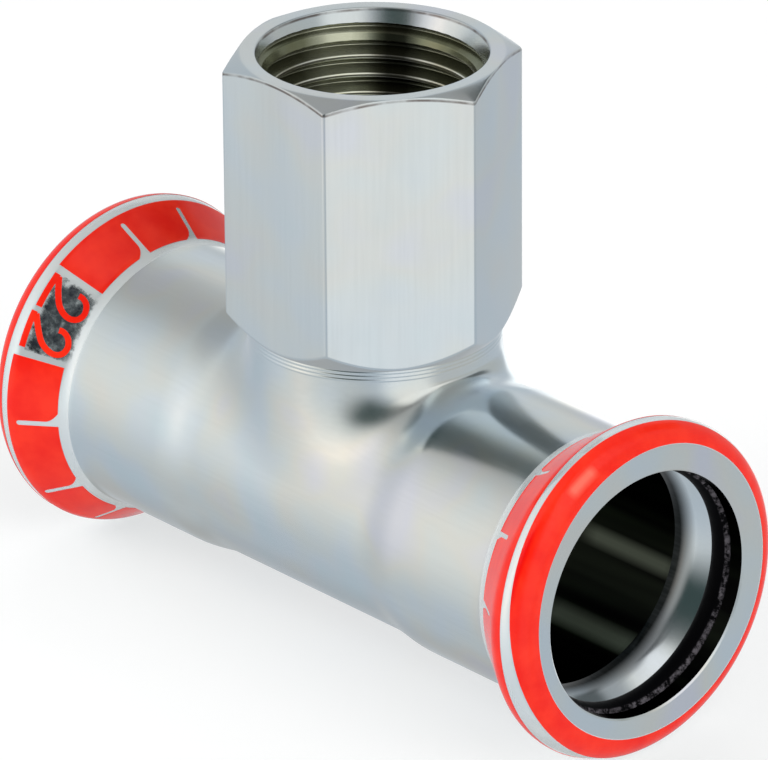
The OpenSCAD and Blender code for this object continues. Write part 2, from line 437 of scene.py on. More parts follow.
@dataclass(frozen=True)
class Zinc:
    """Bright zinc plating with a thin passivated layer that tints it in soft patches.

    Attributes:
        name: The material's name.
        shade: How light the metal is, as a share.
        grain: The way of its fine lines.
        roughness: The mean roughness.
        grain_depth: Depth of the fine lines, in millimetres.
        wave_depth: Depth of the broad unevenness, in millimetres.
        tint: How strong the coloured patches are.
        drawn: How much rougher the metal is that was drawn out round the branch.
        drawn_zone: Two radii round the branch, between which it grows rougher.
        shaded: Two radii round the run; painted shade darkens it from the larger to the smaller, if
            given.
        dirt: The line of dirt under a chamfer, if there is one.
        plain: The tint outside the patches, at a shade of 1.
        patches: The patches' tints at places from 0 to 1 of a noise, at a shade of 1.
        lines: The tint of the fine lines, at a shade of 1.
        patch_waves: Waves of the patches in a millimetre.
        line_waves: Waves of the fine lines in a millimetre, across them.
        cloud_waves: Waves of the cloudy roughness in a millimetre.
        broad_waves: Waves of the broad unevenness in a millimetre.
    """

    name: str
    shade: float = 0.76
    grain: Grain = Grain.ALONG_RUN
    roughness: float = 0.17
    grain_depth: float = 0.0004
    wave_depth: float = 0.012
    tint: float = 1.0
    drawn: float = 0.0
    drawn_zone: Pair = (17.0, 13.0)
    shaded: Pair | None = None
    dirt: DirtLine | None = None
    plain: Colour = (0.90, 0.99, 1.05)
    patches: tuple[tuple[float, Colour], ...] = (
        (0.30, (0.85, 0.99, 1.06)), (0.42, (0.90, 0.99, 1.05)), (0.50, (0.94, 1.0, 0.99)),
        (0.58, (0.98, 0.99, 0.94)), (0.68, (0.94, 0.96, 1.04)))
    lines: Colour = (0.45, 0.48, 0.50)
    patch_waves: float = 0.085
    line_waves: float = 3.2
    cloud_waves: float = 0.22
    broad_waves: float = 0.16

    def shaded_tint(self, tint: Colour) -> Colour:
        """Gives a tint at the metal's own shade."""
        return tuple(self.shade * channel for channel in tint)

    def make(self) -> bpy.types.Material:
        """Builds the material: tint patches, cloudy roughness, fine lines, broad unevenness.

        Returns:
            The material.
        """
        g = Graph.material(self.name)
        tone = g.ramp(g.noise(self.patch_waves, detail=2.0),
                      [(at, self.shaded_tint(tint)) for at, tint in self.patches])
        if self.tint < 1:
            tone = g.blend(self.tint, (*self.shaded_tint(self.plain), 1.0), tone)
        # Painted shade: towards the run's axis the colour darkens to near-black.
        if self.shaded:
            inner, outer = (radius * MM for radius in self.shaded)
            tone = g.blend(g.span(g.axis_radius(1, 2), inner, outer, 1.0, 0.0), tone, UNLIT)
        if self.dirt:
            tone = self.dirt.over(g, tone)
        lines = g.noise(self.line_waves, self.grain.value, detail=2.0, rough=0.6)
        streaked = g.blend(g.span(lines, 0.35, 0.75, 0.0, 0.035), tone,
                           (*self.shaded_tint(self.lines), 1.0))
        clouds = g.noise(self.cloud_waves, (0.6, 1.0, 1.0), detail=3.0)
        cloud = g.span(clouds, 0.3, 0.7, -0.03, 0.04)
        fine = g.span(lines, 0.3, 0.7, self.roughness - 0.01, self.roughness + 0.02)
        rough = g.math("ADD", cloud, fine)
        if self.drawn:
            start, full = (radius * MM for radius in self.drawn_zone)
            more = g.span(g.axis_radius(0, 1), start, full, 0.0, self.drawn)
            rough = g.math("ADD", rough, more)
        waves = g.noise(self.broad_waves, (0.55, 1.0, 1.0), detail=1.5)
        broad = g.bump(waves, self.wave_depth)
        return g.principled({
            "Base Color": streaked, "Metallic": 1.0, "Roughness": rough,
            "Normal": g.bump(lines, self.grain_depth, broad)})


@dataclass(frozen=True)
class BoreMetal:
    """The drawn steel inside the run and the branch, painted near-black as shade, with faint olive
    streaks.

    Attributes:
        name: The material's name.
        dark: The tone between the streaks, a painted shade.
        light: The tone of the faint streaks.
        roughness: The roughness.
        streaks: Painted reflections as brighter streaks in the right bore: angle, half of the width
            in degrees, strength.
        painted_reflection_zone: Where those start and end along the run, and how far they fade.
        painted_reflection_tone: Their colour.
    """

    name: str = "bore_metal"
    dark: Colour = (0.003, 0.003, 0.003)
    light: Colour = (0.0096, 0.012, 0.0084)
    roughness: float = 0.32
    streaks: tuple[Triple, ...] = ((109.5, 6.0, 0.4), (150.0, 7.5, 1.0))
    painted_reflection_zone: Triple = (15.5, 30.5, 3.0)
    painted_reflection_tone: Colour = (0.13, 0.15, 0.115)

    def make(self) -> bpy.types.Material:
        """Builds the material: painted shade with faint streaks along the run, and a few brighter
        streaks of painted reflection.

        Returns:
            The material.
        """
        g = Graph.material(self.name)
        soft = g.noise(0.30, (0.05, 1.0, 1.0), detail=2.0)
        # Near-black base colour: painted shade inside the bores.
        tone = g.ramp(soft, [(0.42, self.dark), (0.62, self.light)])
        ahead = g.inside(g.along(), *self.painted_reflection_zone)
        # Brighter streaks at fixed angles: painted reflections in the right bore.
        for middle, half, share in self.streaks:
            near = g.span(g.around(middle), half, half * 0.2)
            seen = g.math("MULTIPLY", g.math("MULTIPLY", near, ahead), share)
            tone = g.blend(seen, tone, (*self.painted_reflection_tone, 1.0))
        return g.principled({
            "Base Color": tone, "Metallic": 1.0, "Roughness": self.roughness,
            "Specular Tint": (0.0, 0.0, 0.0, 1.0),
            "Normal": g.bump(g.noise(2.0, (0.1, 1, 1)), 0.004)})


@dataclass(frozen=True)
class ThreadMetal:
    """Cut thread with an oily film on its flanks, and painted highlights along its crests and
    roots.

    Attributes:
        crest_radius: Radius of the thread at its crests.
        root_radius: Radius at its roots.
        name: The material's name.
        roughness: The roughness.
        tones: Its colours at places from 0, the crests, to 1, the roots; the light ones there are
            painted highlights.
        stain: The colour of the oil's stains.
        painted_reflection_bands: Bands of painted reflection: angle, half of its width in degrees,
            strength, colour.
    """

    crest_radius: float
    root_radius: float
    name: str = "thread_metal"
    roughness: float = 0.22
    tones: tuple[tuple[float, Colour], ...] = (
        (0.0, (0.34, 0.34, 0.28)), (0.06, (0.95, 0.95, 0.88)), (0.14, (0.26, 0.275, 0.19)),
        (0.80, (0.21, 0.225, 0.14)), (0.96, (0.18, 0.19, 0.12)), (1.0, (0.60, 0.62, 0.54)))
    stain: Colour = (0.55, 0.50, 0.34)
    painted_reflection_bands: tuple[tuple[float, float, float, Colour], ...] = (
        (157.0, 22.0, 0.62, (0.80, 0.82, 0.64)), (126.0, 16.0, 0.85, (0.012, 0.011, 0.006)))

    def make(self) -> bpy.types.Material:
        """Builds the material: the radius from the branch's axis picks the tone and painted
        highlights.

        Returns:
            The material.
        """
        g = Graph.material(self.name)
        depth = g.span(g.axis_radius(0, 1), self.crest_radius * MM, self.root_radius * MM)
        # The light tones at the crests and roots are painted highlights.
        tone = g.ramp(depth, self.tones)
        stained = g.span(g.noise(0.35, (1.0, 1.0, 0.5), detail=3.0), 0.35, 0.65, 0.0, 0.55)
        tone = g.blend(stained, tone, (*self.stain, 1.0), "MULTIPLY")
        # Painted reflection: a light and a dark band at fixed angles round the branch.
        for middle, half, share, colour in self.painted_reflection_bands:
            near = g.span(g.around(middle, branch=True), half, half * 0.3, 0.0, share)
            tone = g.blend(near, tone, (*colour, 1.0))
        return g.principled({
            "Base Color": tone, "Metallic": 0.85, "Roughness": self.roughness,
            "Normal": g.bump(g.noise(1.2, (1, 1, 3.0)), 0.003)})


@dataclass(frozen=True)
class Rubber:
    """Black seal rubber with a mottled grey line of painted highlight where it meets the lip.

    Attributes:
        name: The material's name.
        line_start: Where the line starts, in millimetres along the run from the origin.
        line_end: Where it ends, the larger value.
        black: The rubber's colour.
        painted_highlight: The line's colour.
    """

    name: str = "seal_rubber"
    line_start: float = 34.58
    line_end: float = 35.02
    black: Colour = (0.001, 0.001, 0.0015)
    painted_highlight: Colour = (0.13, 0.12, 0.135)

    def make(self) -> bpy.types.Material:
        """Builds the material: a mottled grey painted highlight between two places along the run,
        on black.

        Returns:
            The material.
        """
        g = Graph.material(self.name)
        # Painted highlight: a mottled grey line along the seal's crest by the lip.
        line = g.inside(g.math("ABSOLUTE", g.along()), self.line_start, self.line_end, 0.1)
        speck = g.span(g.noise(1.5, detail=4.0, rough=0.7), 0.44, 0.62)
        tone = g.blend(g.math("MULTIPLY", line, speck), (*self.black, 1.0), (*self.painted_highlight, 1.0))
        return g.principled({
            "Base Color": tone, "Roughness": g.span(speck, 0.0, 1.0, 0.5, 0.6),
            "Specular IOR Level": 0.03, "Normal": g.bump(g.noise(2.2, detail=3.0), 0.01)})


@dataclass(frozen=True)
class RedPrint:
    """Glossy red print on foil, slightly uneven in its ink and with small ripples.

    Attributes:
        name: The material's name.
        deep: The deeper red.
        light: The lighter red.
        roughness: The mean roughness.
        patches: Painted highlight and shade: angle, half of its width, two distances along the run,
            colour.
    """

    name: str = "red_print"
    deep: Colour = (0.86, 0.012, 0.004)
    light: Colour = (0.94, 0.028, 0.009)
    roughness: float = 0.13
    patches: tuple[tuple[float, float, float, float, Colour], ...] = ()

    def make(self) -> bpy.types.Material:
        """Builds the material: cloudy ink between two reds under a gloss with soft ripples.

        Returns:
            The material.
        """
        g = Graph.material(self.name)
        ink = g.span(g.noise(0.35, detail=3.0), 0.35, 0.65)
        tone = g.blend(ink, (*self.deep, 1.0), (*self.light, 1.0))
        # Painted highlight or painted shade in patches on the print.
        for middle, half, near, far, colour in self.patches:
            band = g.inside(g.along(), near, far, 0.35)
            beside = g.span(g.around(middle), half, half * 0.6)
            tone = g.blend(g.math("MULTIPLY", band, beside), tone, (*colour, 1.0))
        ripple = g.bump(g.noise(0.5, detail=2.0), 0.03)
        rough = g.span(g.noise(1.4), 0.3, 0.7, self.roughness - 0.03, self.roughness + 0.06)
        return g.principled({
            "Base Color": tone, "Roughness": rough, "Specular IOR Level": 0.3,
            "Normal": g.bump(g.noise(2.5, detail=2.0), 0.004, ripple)})


@dataclass(frozen=True)
class ClearFoil:
    """Clear plastic foil: mostly see-through, with a gloss and a faint milky veil.

    Attributes:
        name: The material's name.
        colour: The veil's colour.
        veil: How much the foil covers, as a share.
        roughness: The roughness.
    """

    name: str = "clear_foil"
    colour: Colour = (0.82, 0.86, 0.87)
    veil: float = 0.3
    roughness: float = 0.12

    def make(self) -> bpy.types.Material:
        """Builds the material: a glossy pale plastic with a low alpha and soft waves.

        Returns:
            The material.
        """
        g = Graph.material(self.name)
        return g.principled({
            "Base Color": (*self.colour, 1.0), "Roughness": self.roughness, "Alpha": self.veil,
            "Normal": g.bump(g.noise(0.25, detail=1.0), 0.03)})


@dataclass(frozen=True)
class WindowReflectionSheet:
    """A sheet on the bare part of the foil behind the size mark, mottled dark and light as painted
    reflection.

    Attributes:
        name: The material's name.
        middle: The angle of its middle, in degrees.
        half: Half of its angle, in degrees.
        near: Where it starts, in millimetres along the run from the origin.
        far: Where it ends, the larger value.
        tones: Its greys at places from 0 to 1 of the mottling.
    """

    name: str
    middle: float
    half: float = 14.6
    near: float = 29.2
    far: float = 33.1
    tones: tuple[tuple[float, Colour], ...] = (
        (0.34, (0.03, 0.035, 0.045)), (0.50, (0.10, 0.115, 0.125)), (0.60, (0.24, 0.27, 0.28)),
        (0.72, (0.62, 0.66, 0.66)))

    def make(self) -> bpy.types.Material:
        """Builds the material: dark and light grey mottling of painted reflection that thins out to
        its borders.

        Returns:
            The material.
        """
        g = Graph.material(self.name)
        mottle = g.noise(1.1, detail=5.0, rough=0.68)
        ragged = g.span(mottle, 0.3, 0.7, -0.5, 0.5)
        along = g.math("ADD", g.math("ABSOLUTE", g.along()), ragged)
        around = g.math("ADD", g.around(self.middle), g.math("MULTIPLY", ragged, 4.0))
        share = g.math("MULTIPLY", g.span(around, self.half, self.half - 3.5),
                       g.inside(along, self.near, self.far, 0.9))
        return g.principled({
            "Base Color": g.ramp(mottle, self.tones), "Metallic": 0.55, "Roughness": 0.3,
            "Alpha": g.math("MULTIPLY", share, g.span(mottle, 0.3, 0.75, 0.96, 0.7)),
            "Normal": g.bump(g.noise(1.4, detail=3.0), 0.06)})


@dataclass
class BeadSkin:
    """The outside of a bead as a curve that other layers follow.

    The curve starts on the flat face of the mouth, goes over the rounded crown, down the back
    slope and through the hollow foot on to the tube. It is read by its own length, which is 0
    where the flat face meets the crown.

    Attributes:
        half: Half of the run's length.
        tube_r: The socket's outside radius.
        crown_rise: Height of the crown over the socket.
        crown_round: Rounding of the crown.
        slope: Slope of the back, in radians from the axis.
        foot_round: Hollow rounding at the foot.
        face_depth: How far the curve goes on the flat face.
        face_points: Points of the curve there.
        tube_length: How far the curve goes on the tube.
        tube_points: Points of the curve there.
        centre: The crown's centre, as (behind the mouth, radius).
        foot: The foot's centre, as (behind the mouth, radius).
        table: The curve's length, place behind the mouth, radius, and its normal's two parts.
    """

    half: float = 36.7
    tube_r: float = 12.9
    crown_rise: float = 3.1
    crown_round: float = 2.2
    slope: float = math.radians(33)
    foot_round: float = 3.0
    face_depth: float = 1.9
    face_points: int = 20
    tube_length: float = 4.0
    tube_points: int = 10
    centre: np.ndarray = field(init=False)
    foot: np.ndarray = field(init=False)
    table: dict[str, np.ndarray] = field(init=False)

    def __post_init__(self) -> None:
        """Works out the two centres and the table of the curve."""
        reach = self.tube_r + self.crown_rise - self.crown_round
        self.centre = np.array([self.crown_round, reach])
        foot_r = self.tube_r + self.foot_round
        run = self.crown_round + self.foot_round - (foot_r - reach) * math.cos(self.slope)
        self.foot = np.array([self.crown_round + run / math.sin(self.slope), foot_r])
        turn = np.linspace(0, math.pi / 2 + self.slope, 160)
        crown_n = np.stack([-np.cos(turn), np.sin(turn)], -1)
        back = np.linspace(self.slope, 0, 60)
        foot_n = np.stack([np.sin(back), np.cos(back)], -1)
        face = np.linspace((0.0, reach - self.face_depth), (0.0, reach - 0.02), self.face_points)
        tube = np.linspace((self.foot[0] + 0.05, self.tube_r),
                           (self.foot[0] + self.tube_length, self.tube_r), self.tube_points)
        at = np.concatenate([face, self.centre + self.crown_round * crown_n,
                             self.foot - self.foot_round * foot_n, tube])
        normal = np.concatenate([np.tile([-1.0, 0.0], (self.face_points, 1)), crown_n, foot_n,
                                 np.tile([0.0, 1.0], (self.tube_points, 1))])
        steps = np.linalg.norm(np.diff(at, axis=0), axis=1)
        length = np.concatenate([[0], np.cumsum(steps)])
        rising = self.face_points + 10
        length -= np.interp(reach, at[:rising, 1], length[:rising])
        self.table = {"length": length, "behind": at[:, 0], "radius": at[:, 1],
                      "normal_behind": normal[:, 0], "normal_radius": normal[:, 1]}

    def outline(self, off: float, crown: int = 40, foot: int = 14) -> np.ndarray:
        """Gives the bead's outline moved outwards.

        The crown is centre + (round + off) (-cos a, sin a) for a from 0 to 90 degrees + slope, and
        the foot is foot centre - (foot round - off) (sin b, cos b) for b from slope to 0.

        Args:
            off: How far outwards, or inwards where negative.
            crown: Points on the crown.
            foot: Points on the foot.

        Returns:
            Points as (behind the mouth, radius).
        """
        a = np.linspace(0, math.pi / 2 + self.slope, crown)[:, None]
        b = np.linspace(self.slope, 0, foot)[:, None]
        top = self.centre + (self.crown_round + off) * np.hstack([-np.cos(a), np.sin(a)])
        low = self.foot - (self.foot_round - off) * np.hstack([np.sin(b), np.cos(b)])
        slope = top[-1] + (low[0] - top[-1]) * np.linspace(0, 1, 8)[1:-1, None]
        return np.concatenate([top, slope, low])

    def length_at(self, behind: np.ndarray) -> np.ndarray:
        """Gives the curve's length at distances behind the mouth, for places past the face."""
        past = self.table["length"] >= 0
        return np.interp(behind, self.table["behind"][past], self.table["length"][past])

    def radius_at(self, behind: np.ndarray) -> np.ndarray:
        """Gives the metal's radius at distances behind the mouth, for places past the face."""
        past = slice(self.face_points, None)
        return np.interp(behind, self.table["behind"][past], self.table["radius"][past])

    def at(self, length: np.ndarray, turn: np.ndarray, off: np.ndarray | float,
           end: End) -> np.ndarray:
        """Gives points on the bead.

        Args:
            length: Length along the curve.
            turn: Angle round the run, in radians.
            off: Height over the metal.
            end: Which end of the run.

        Returns:
            Points in millimetres.
        """
        columns = ("behind", "radius", "normal_behind", "normal_radius")
        behind, radius, out_x, out_r = (
            np.interp(length, self.table["length"], self.table[name]) for name in columns)
        scale = off / np.hypot(out_x, out_r)
        x = end.value * (self.half - (behind + scale * out_x))
        return polar(x, radius + scale * out_r, turn)


@dataclass
class TeeBody:
    """The drawn run with its two beads and the neck that is pulled out of its middle.

    Attributes:
        skin: The bead's curve.
        wall: Wall thickness.
        guide_r: Radius of the bore that guides the pipe.
        stop_step: Height of the pipe stop.
        stop_x: Place of the stop.
        step_out: How far past the stop the outside's step ends.
        step_length: How long the outside's step is.
        stop_ramp: How long the inside's step is.
        lip_gap: How much wider the lip's bore is than the guide's, on the radius.
        lip_edge: The lip's small edge.
        neck_inset: How much smaller the neck is than the run, on the radius.
        neck_rise: Height of the neck's end over the run.
        neck_straight: How long the neck is straight at its end.
        reach: How far the blend goes along the run, outside and inside.
        margin: How far the blend goes round the run past the neck, in degrees.
        patch: Half of the length of the patch round the neck.
        patch_turn: Half of its angle, in radians from the top.
        patch_rows: Quads along each of its two borders that go round the run.
        patch_steps: Quads along each of its two borders that go along the run.
        sides: Quads round the run.
        chamber_shade: Radii between which painted shade darkens the seal chambers.
    """

    skin: BeadSkin
    wall: float = 1.6
    guide_r: float = 11.3
    stop_step: float = 0.5
    stop_x: float = 15.7
    step_out: float = 0.8
    step_length: float = 5.0
    stop_ramp: float = 1.2
    lip_gap: float = 0.4
    lip_edge: float = 0.15
    neck_inset: float = 0.7
    neck_rise: float = 1.5
    neck_straight: float = 0.6
    reach: Pair = (5.0, 4.2)
    margin: float = 9.4
    patch: float = 20.0
    patch_turn: float = math.radians(150)
    patch_rows: int = 120
    patch_steps: int = 48
    sides: int = 144
    chamber_shade: Pair = (11.35, 11.85)

    @property
    def middle_r(self) -> float:
        """The run's outside radius in its middle."""
        return self.skin.tube_r - self.stop_step

    def finishes(self) -> tuple[Zinc | BoreMetal, ...]:
        """Gives the finishes of the outside, the bores and the seal chambers."""
        chamber = Zinc("zinc_chamber", roughness=0.15, tint=0.4, shaded=self.chamber_shade)
        return Zinc("zinc_run", drawn=0.04), BoreMetal(), chamber

    def outside(self, x: np.ndarray) -> np.ndarray:
        """Gives the outside radius between the feet of the beads."""
        far = self.stop_x + self.step_out
        return half_wave(np.abs(x), far - self.step_length, self.middle_r, far, self.skin.tube_r)

    def inside(self, x: np.ndarray) -> np.ndarray:
        """Gives the inside radius between the guide bores."""
        return half_wave(np.abs(x), self.stop_x - self.stop_ramp, self.guide_r - self.stop_step,
                         self.stop_x, self.guide_r)

    def around_neck(self, inner: bool) -> tuple[np.ndarray, np.ndarray]:
        """Builds the surface from the neck's end over the blend to the patch's border.

        The blend is the curve high (1-u)^2 + 2 corner u (1-u) + low u^2. Low lies on the run's
        middle at x = (neck + reach) cos t and angle = widest sin t, high is on the neck's wall, and
        corner is where the tangent plane at low meets the neck's wall, so the blend leaves the neck
        upright and lands flat on the run. Where the run is wider than its middle, the blend is
        lifted by the difference times u^2 (3-2u). From low, straight lines in (x, angle) go to the
        border.

        Args:
            inner: Whether it is the inside wall.

        Returns:
            The grid of points, and the ring at the neck's end.
        """
        radius = self.inside if inner else self.outside
        inset = self.wall if inner else 0.0
        run_r = float(radius(np.array(0.0)))
        neck_r = self.middle_r - self.neck_inset - inset
        top = self.middle_r + self.neck_rise
        start = top - self.neck_straight - inset
        along = neck_r + self.reach[1 if inner else 0]
        widest = math.asin(neck_r / run_r) + math.radians(self.margin)
        steps, rows, blend_rows, outer_rows = self.patch_steps, self.patch_rows, 19, 27
        side = np.linspace(-self.patch_turn, self.patch_turn, rows + 1)[:-1]
        edge = np.linspace(self.patch, -self.patch, steps + 1)[:-1]
        bx = np.concatenate([np.full(rows, self.patch), edge, np.full(rows, -self.patch), -edge])
        bt = np.concatenate([side, np.full(steps, self.patch_turn), -side,
                             np.full(steps, -self.patch_turn)])
        t = np.arctan2(bt / widest, bx / along)
        lx, lt = along * np.cos(t), widest * np.sin(t)
        low = polar(lx, run_r, lt)
        way = np.arctan2(low[:, 1], low[:, 0])
        high = upright(neck_r, way, start)
        corner_z = (run_r - high[:, 1] * np.sin(lt)) / np.cos(lt)
        corner = np.stack([high[:, 0], high[:, 1], corner_z], -1)
        u = np.linspace(0, 1, blend_rows)[:, None, None]
        blend = high * (1 - u) ** 2 + 2 * corner * u * (1 - u) + low * u ** 2
        lift = (radius(blend[..., :1]) - run_r) * u ** 2 * (3 - 2 * u)
        blend[..., 1:] *= 1 + lift / np.linalg.norm(blend[..., 1:], axis=-1, keepdims=True)
        w = np.linspace(0, 1, outer_rows)[1:, None]
        fx, ft = lx + (bx - lx) * w, lt + (bt - lt) * w
        ring = upright(neck_r, way, top)
        straight = np.stack([ring, (ring + high) / 2])
        return np.concatenate([straight, blend, polar(fx, radius(fx), ft)]), ring

    def end_profile(self) -> tuple[np.ndarray, np.ndarray]:
        """Gives the outline of one end, from the patch's border over the bead and back inside.

        Returns:
            Points as (x, radius), and the finish number of each span between two points.
        """
        half, lip, tube_r = self.skin.half, self.guide_r + self.lip_gap, self.skin.tube_r
        out = self.skin.outline(0.0)[::-1]
        chamber = self.skin.outline(-self.wall, 24, 12)
        bead = np.stack([half - out[:, 0], out[:, 1]], -1)
        back = np.stack([half - chamber[:, 0], chamber[:, 1]], -1)
        shoulder = half - self.wall
        parts = (
            np.linspace((self.patch, tube_r), (bead[0, 0], tube_r), 10)[:-1],
            bead,
            np.linspace((half, out[-1, 1]), (half, lip + self.lip_edge), 5)[1:],
            np.linspace((half - self.lip_edge, lip), (shoulder, lip), 4),
            np.linspace((shoulder, lip), (shoulder, chamber[0, 1]), 5)[1:-1],
            back,
            np.linspace((back[-1, 0], self.guide_r), (self.patch, self.guide_r), 10)[1:])
        marks = (0, 0, 0, 1, 1, 2, 1)
        finish = np.concatenate([np.full(len(p), m) for p, m in zip(parts, marks)])
        finish[sum(len(p) for p in parts[:3])] = 0
        return np.concatenate(parts), finish[1:]

    def surface(self) -> Surface:
        """Puts the patches of the whole body together as one closed surface.

        Returns:
            The surface.
        """
        parts = []
        rings = []
        turn = np.linspace(self.patch_turn, 2 * math.pi - self.patch_turn,
                           self.sides - self.patch_rows + 1)
        x = np.linspace(-self.patch, self.patch, self.patch_steps + 1)
        for inner in (False, True):
            points, ring = self.around_neck(inner)
            rings.append(ring)
            radius = (self.inside if inner else self.outside)(x)
            under = polar(x[:, None], radius[:, None], turn[None])
            parts.append(Surface.grid(points, flip=inner, finish=int(inner)))
            parts.append(Surface.grid(under, closed=False, flip=inner, finish=int(inner)))
        parts.append(Surface.grid(np.stack([rings[1], rings[0]])))
        profile, finish = self.end_profile()
        turn = np.linspace(0, 2 * math.pi, self.sides + 1)[:-1]
        for end in End:
            points = polar(end.value * profile[:, :1], profile[:, 1:], turn[None])
            parts.append(Surface.grid(points, flip=end is End.LEFT, finish=finish))
        return Surface.joined(parts)

    def build(self) -> list[bpy.types.Object]:
        """Makes the body's piece.

        Returns:
            The piece, in a list.
        """
        piece = self.surface().piece("tee_body_skin", [f.make() for f in self.finishes()])
        piece.visible_glossy = False
        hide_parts("tee_body")
        return [piece]


@dataclass
class Branch:
    """The weld ring and the hexagonal thread socket on the neck.

    Attributes:
        neck_r: The neck's outside radius.
        bore_r: The neck's bore.
        bottom: Where the weld starts.
        weld_h: Height of the weld.
        ridges: Number of ridges round the weld.
        ridge_h: Height of a ridge.
        flat_r: Distance of the flats from the axis.
        corner_round: Rounding of the hexagon's corners.
        edge_round: How far the edges of the outline are cut back for their rounding.
        mouth_round: The same at the mouth's edge.
        top: Height of the top face.
        foot_land: How much wider the socket's foot is than the neck, on the radius.
        top_land: How far inside the flats the top chamfer ends.
        top_slope: Its slope, in radians from the level.
        mouth_r: Radius of the countersunk mouth at the top face.
        mouth_slope: Its slope, in radians from the axis.
        mouth_land: How far down the mouth its edge is drawn by itself.
        crest_r: Radius of the thread at its crests.
        root_r: Radius at its roots.
        pitch: The thread's pitch.
        flank: Angle of the thread's flanks, in radians from the level.
        start: Where the thread starts, as a share of a turn.
        thread_round: How far its crests and roots are rounded.
        thread_length: How long it is.
        fine_turns: How many turns of it, from the mouth, have the finest rows.
        plain_r: Radius of the plain bore under it.
        plain_step: How far under the thread's end that bore is reached.
    """

    neck_r: float = 11.7
    bore_r: float = 10.1
    bottom: float = 13.9
    weld_h: float = 1.1
    ridges: int = 3
    ridge_h: float = 0.045
    flat_r: float = 12.0
    corner_round: float = 0.45
    edge_round: float = 0.22
    mouth_round: float = 0.13
    top: float = 41.5
    foot_land: float = 0.1
    top_land: float = 0.02
    top_slope: float = math.radians(26)
    mouth_r: float = 10.65
    mouth_slope: float = math.radians(22)
    mouth_land: float = 0.3
    crest_r: float = 9.3155
    root_r: float = 10.4775
    pitch: float = 1.814
    flank: float = math.radians(27.5)
    start: float = 0.094
    thread_round: float = 0.1
    thread_length: float = 15.0
    fine_turns: float = 2.2
    plain_r: float = 9.0
    plain_step: float = 0.6

    def finishes(self) -> tuple[Zinc | ThreadMetal | BoreMetal, ...]:
        """Gives the socket's finishes.

        Returns:
            The finishes of its outside, of its thread, and of its plain bore.
        """
        dirt = DirtLine(self.top, self.flat_r - self.top_land, self.top_slope)
        outside = Zinc("zinc_socket", shade=0.74, grain=Grain.UPRIGHT, roughness=0.2,
                       grain_depth=0.0001, wave_depth=0.006, tint=0.6, dirt=dirt)
        return outside, ThreadMetal(self.crest_r, self.root_r), BoreMetal("socket_bore")

    def weld(self) -> bpy.types.Object:
        """Makes the weld ring, a little uneven round it.

        Its radius is neck + ridge (1 - cos(2 pi ridges v)) / 2, with v from 0 to 1 up the weld.

        Returns:
            The piece.
        """
        turn = np.linspace(0, 2 * math.pi, 241)[:-1][None]
        v = np.linspace(0, 1, 31)[:, None]
        uneven = 0.8 + 0.15 * np.sin(2 * turn + 2.4) + 0.05 * np.sin(5 * turn)
        wave = self.ridge_h * (1 - np.cos(2 * math.pi * self.ridges * v)) / 2 * uneven
        z = self.bottom + self.weld_h * v
        outer = upright(self.neck_r + wave, turn, z)
        inner = upright(self.bore_r, turn, z[::-1][::10])
        points = np.concatenate([outer, inner, outer[:1]])
        zinc = Zinc("zinc_weld", roughness=0.2, wave_depth=0.01).make()
        piece = Surface.joined([Surface.grid(points, flip=True)]).piece("neck_weld_ring", [zinc])
        piece.visible_glossy = False
        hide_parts("neck_weld")
        return piece

    def angles(self) -> np.ndarray:
        """Chooses the socket's columns, even ones and closer ones at the six corners.

        Returns:
            Their angles, rising.
        """
        near = np.radians(np.linspace(-1.0, 1.0, 11))
        corners = (np.radians(np.arange(6) * 60.0)[:, None] + near).ravel() % (2 * math.pi)
        even = np.radians(np.arange(0, 360, 3.0))
        gap = (even[:, None] - corners[None] + math.pi) % (2 * math.pi) - math.pi
        return np.sort(np.concatenate([corners, even[np.abs(gap).min(1) > math.radians(0.6)]]))

    def hexagon(self, turn: np.ndarray) -> np.ndarray:
        """Gives the rounded hexagon's radius.

        It is flat / cos(angle from the flat's middle), or near a corner the corner's circle: with
        d the distance of its centre, d cos a + sqrt(round^2 - (d sin a)^2), where a is the angle
        from the corner.

        Args:
            turn: Angles round the branch.

        Returns:
            The radius at each angle.
        """
        sixth = math.pi / 6
        away = np.abs((turn + sixth) % (2 * sixth) - sixth)
        d = (self.flat_r - self.corner_round) / math.cos(sixth)
        edge = sixth - math.atan(d / 2 / self.flat_r)
        flat = self.flat_r / np.cos(sixth - away)
        within = np.maximum(self.corner_round ** 2 - (d * np.sin(away)) ** 2, 0)
        return np.where(away < edge, d * np.cos(away) + np.sqrt(within), flat)

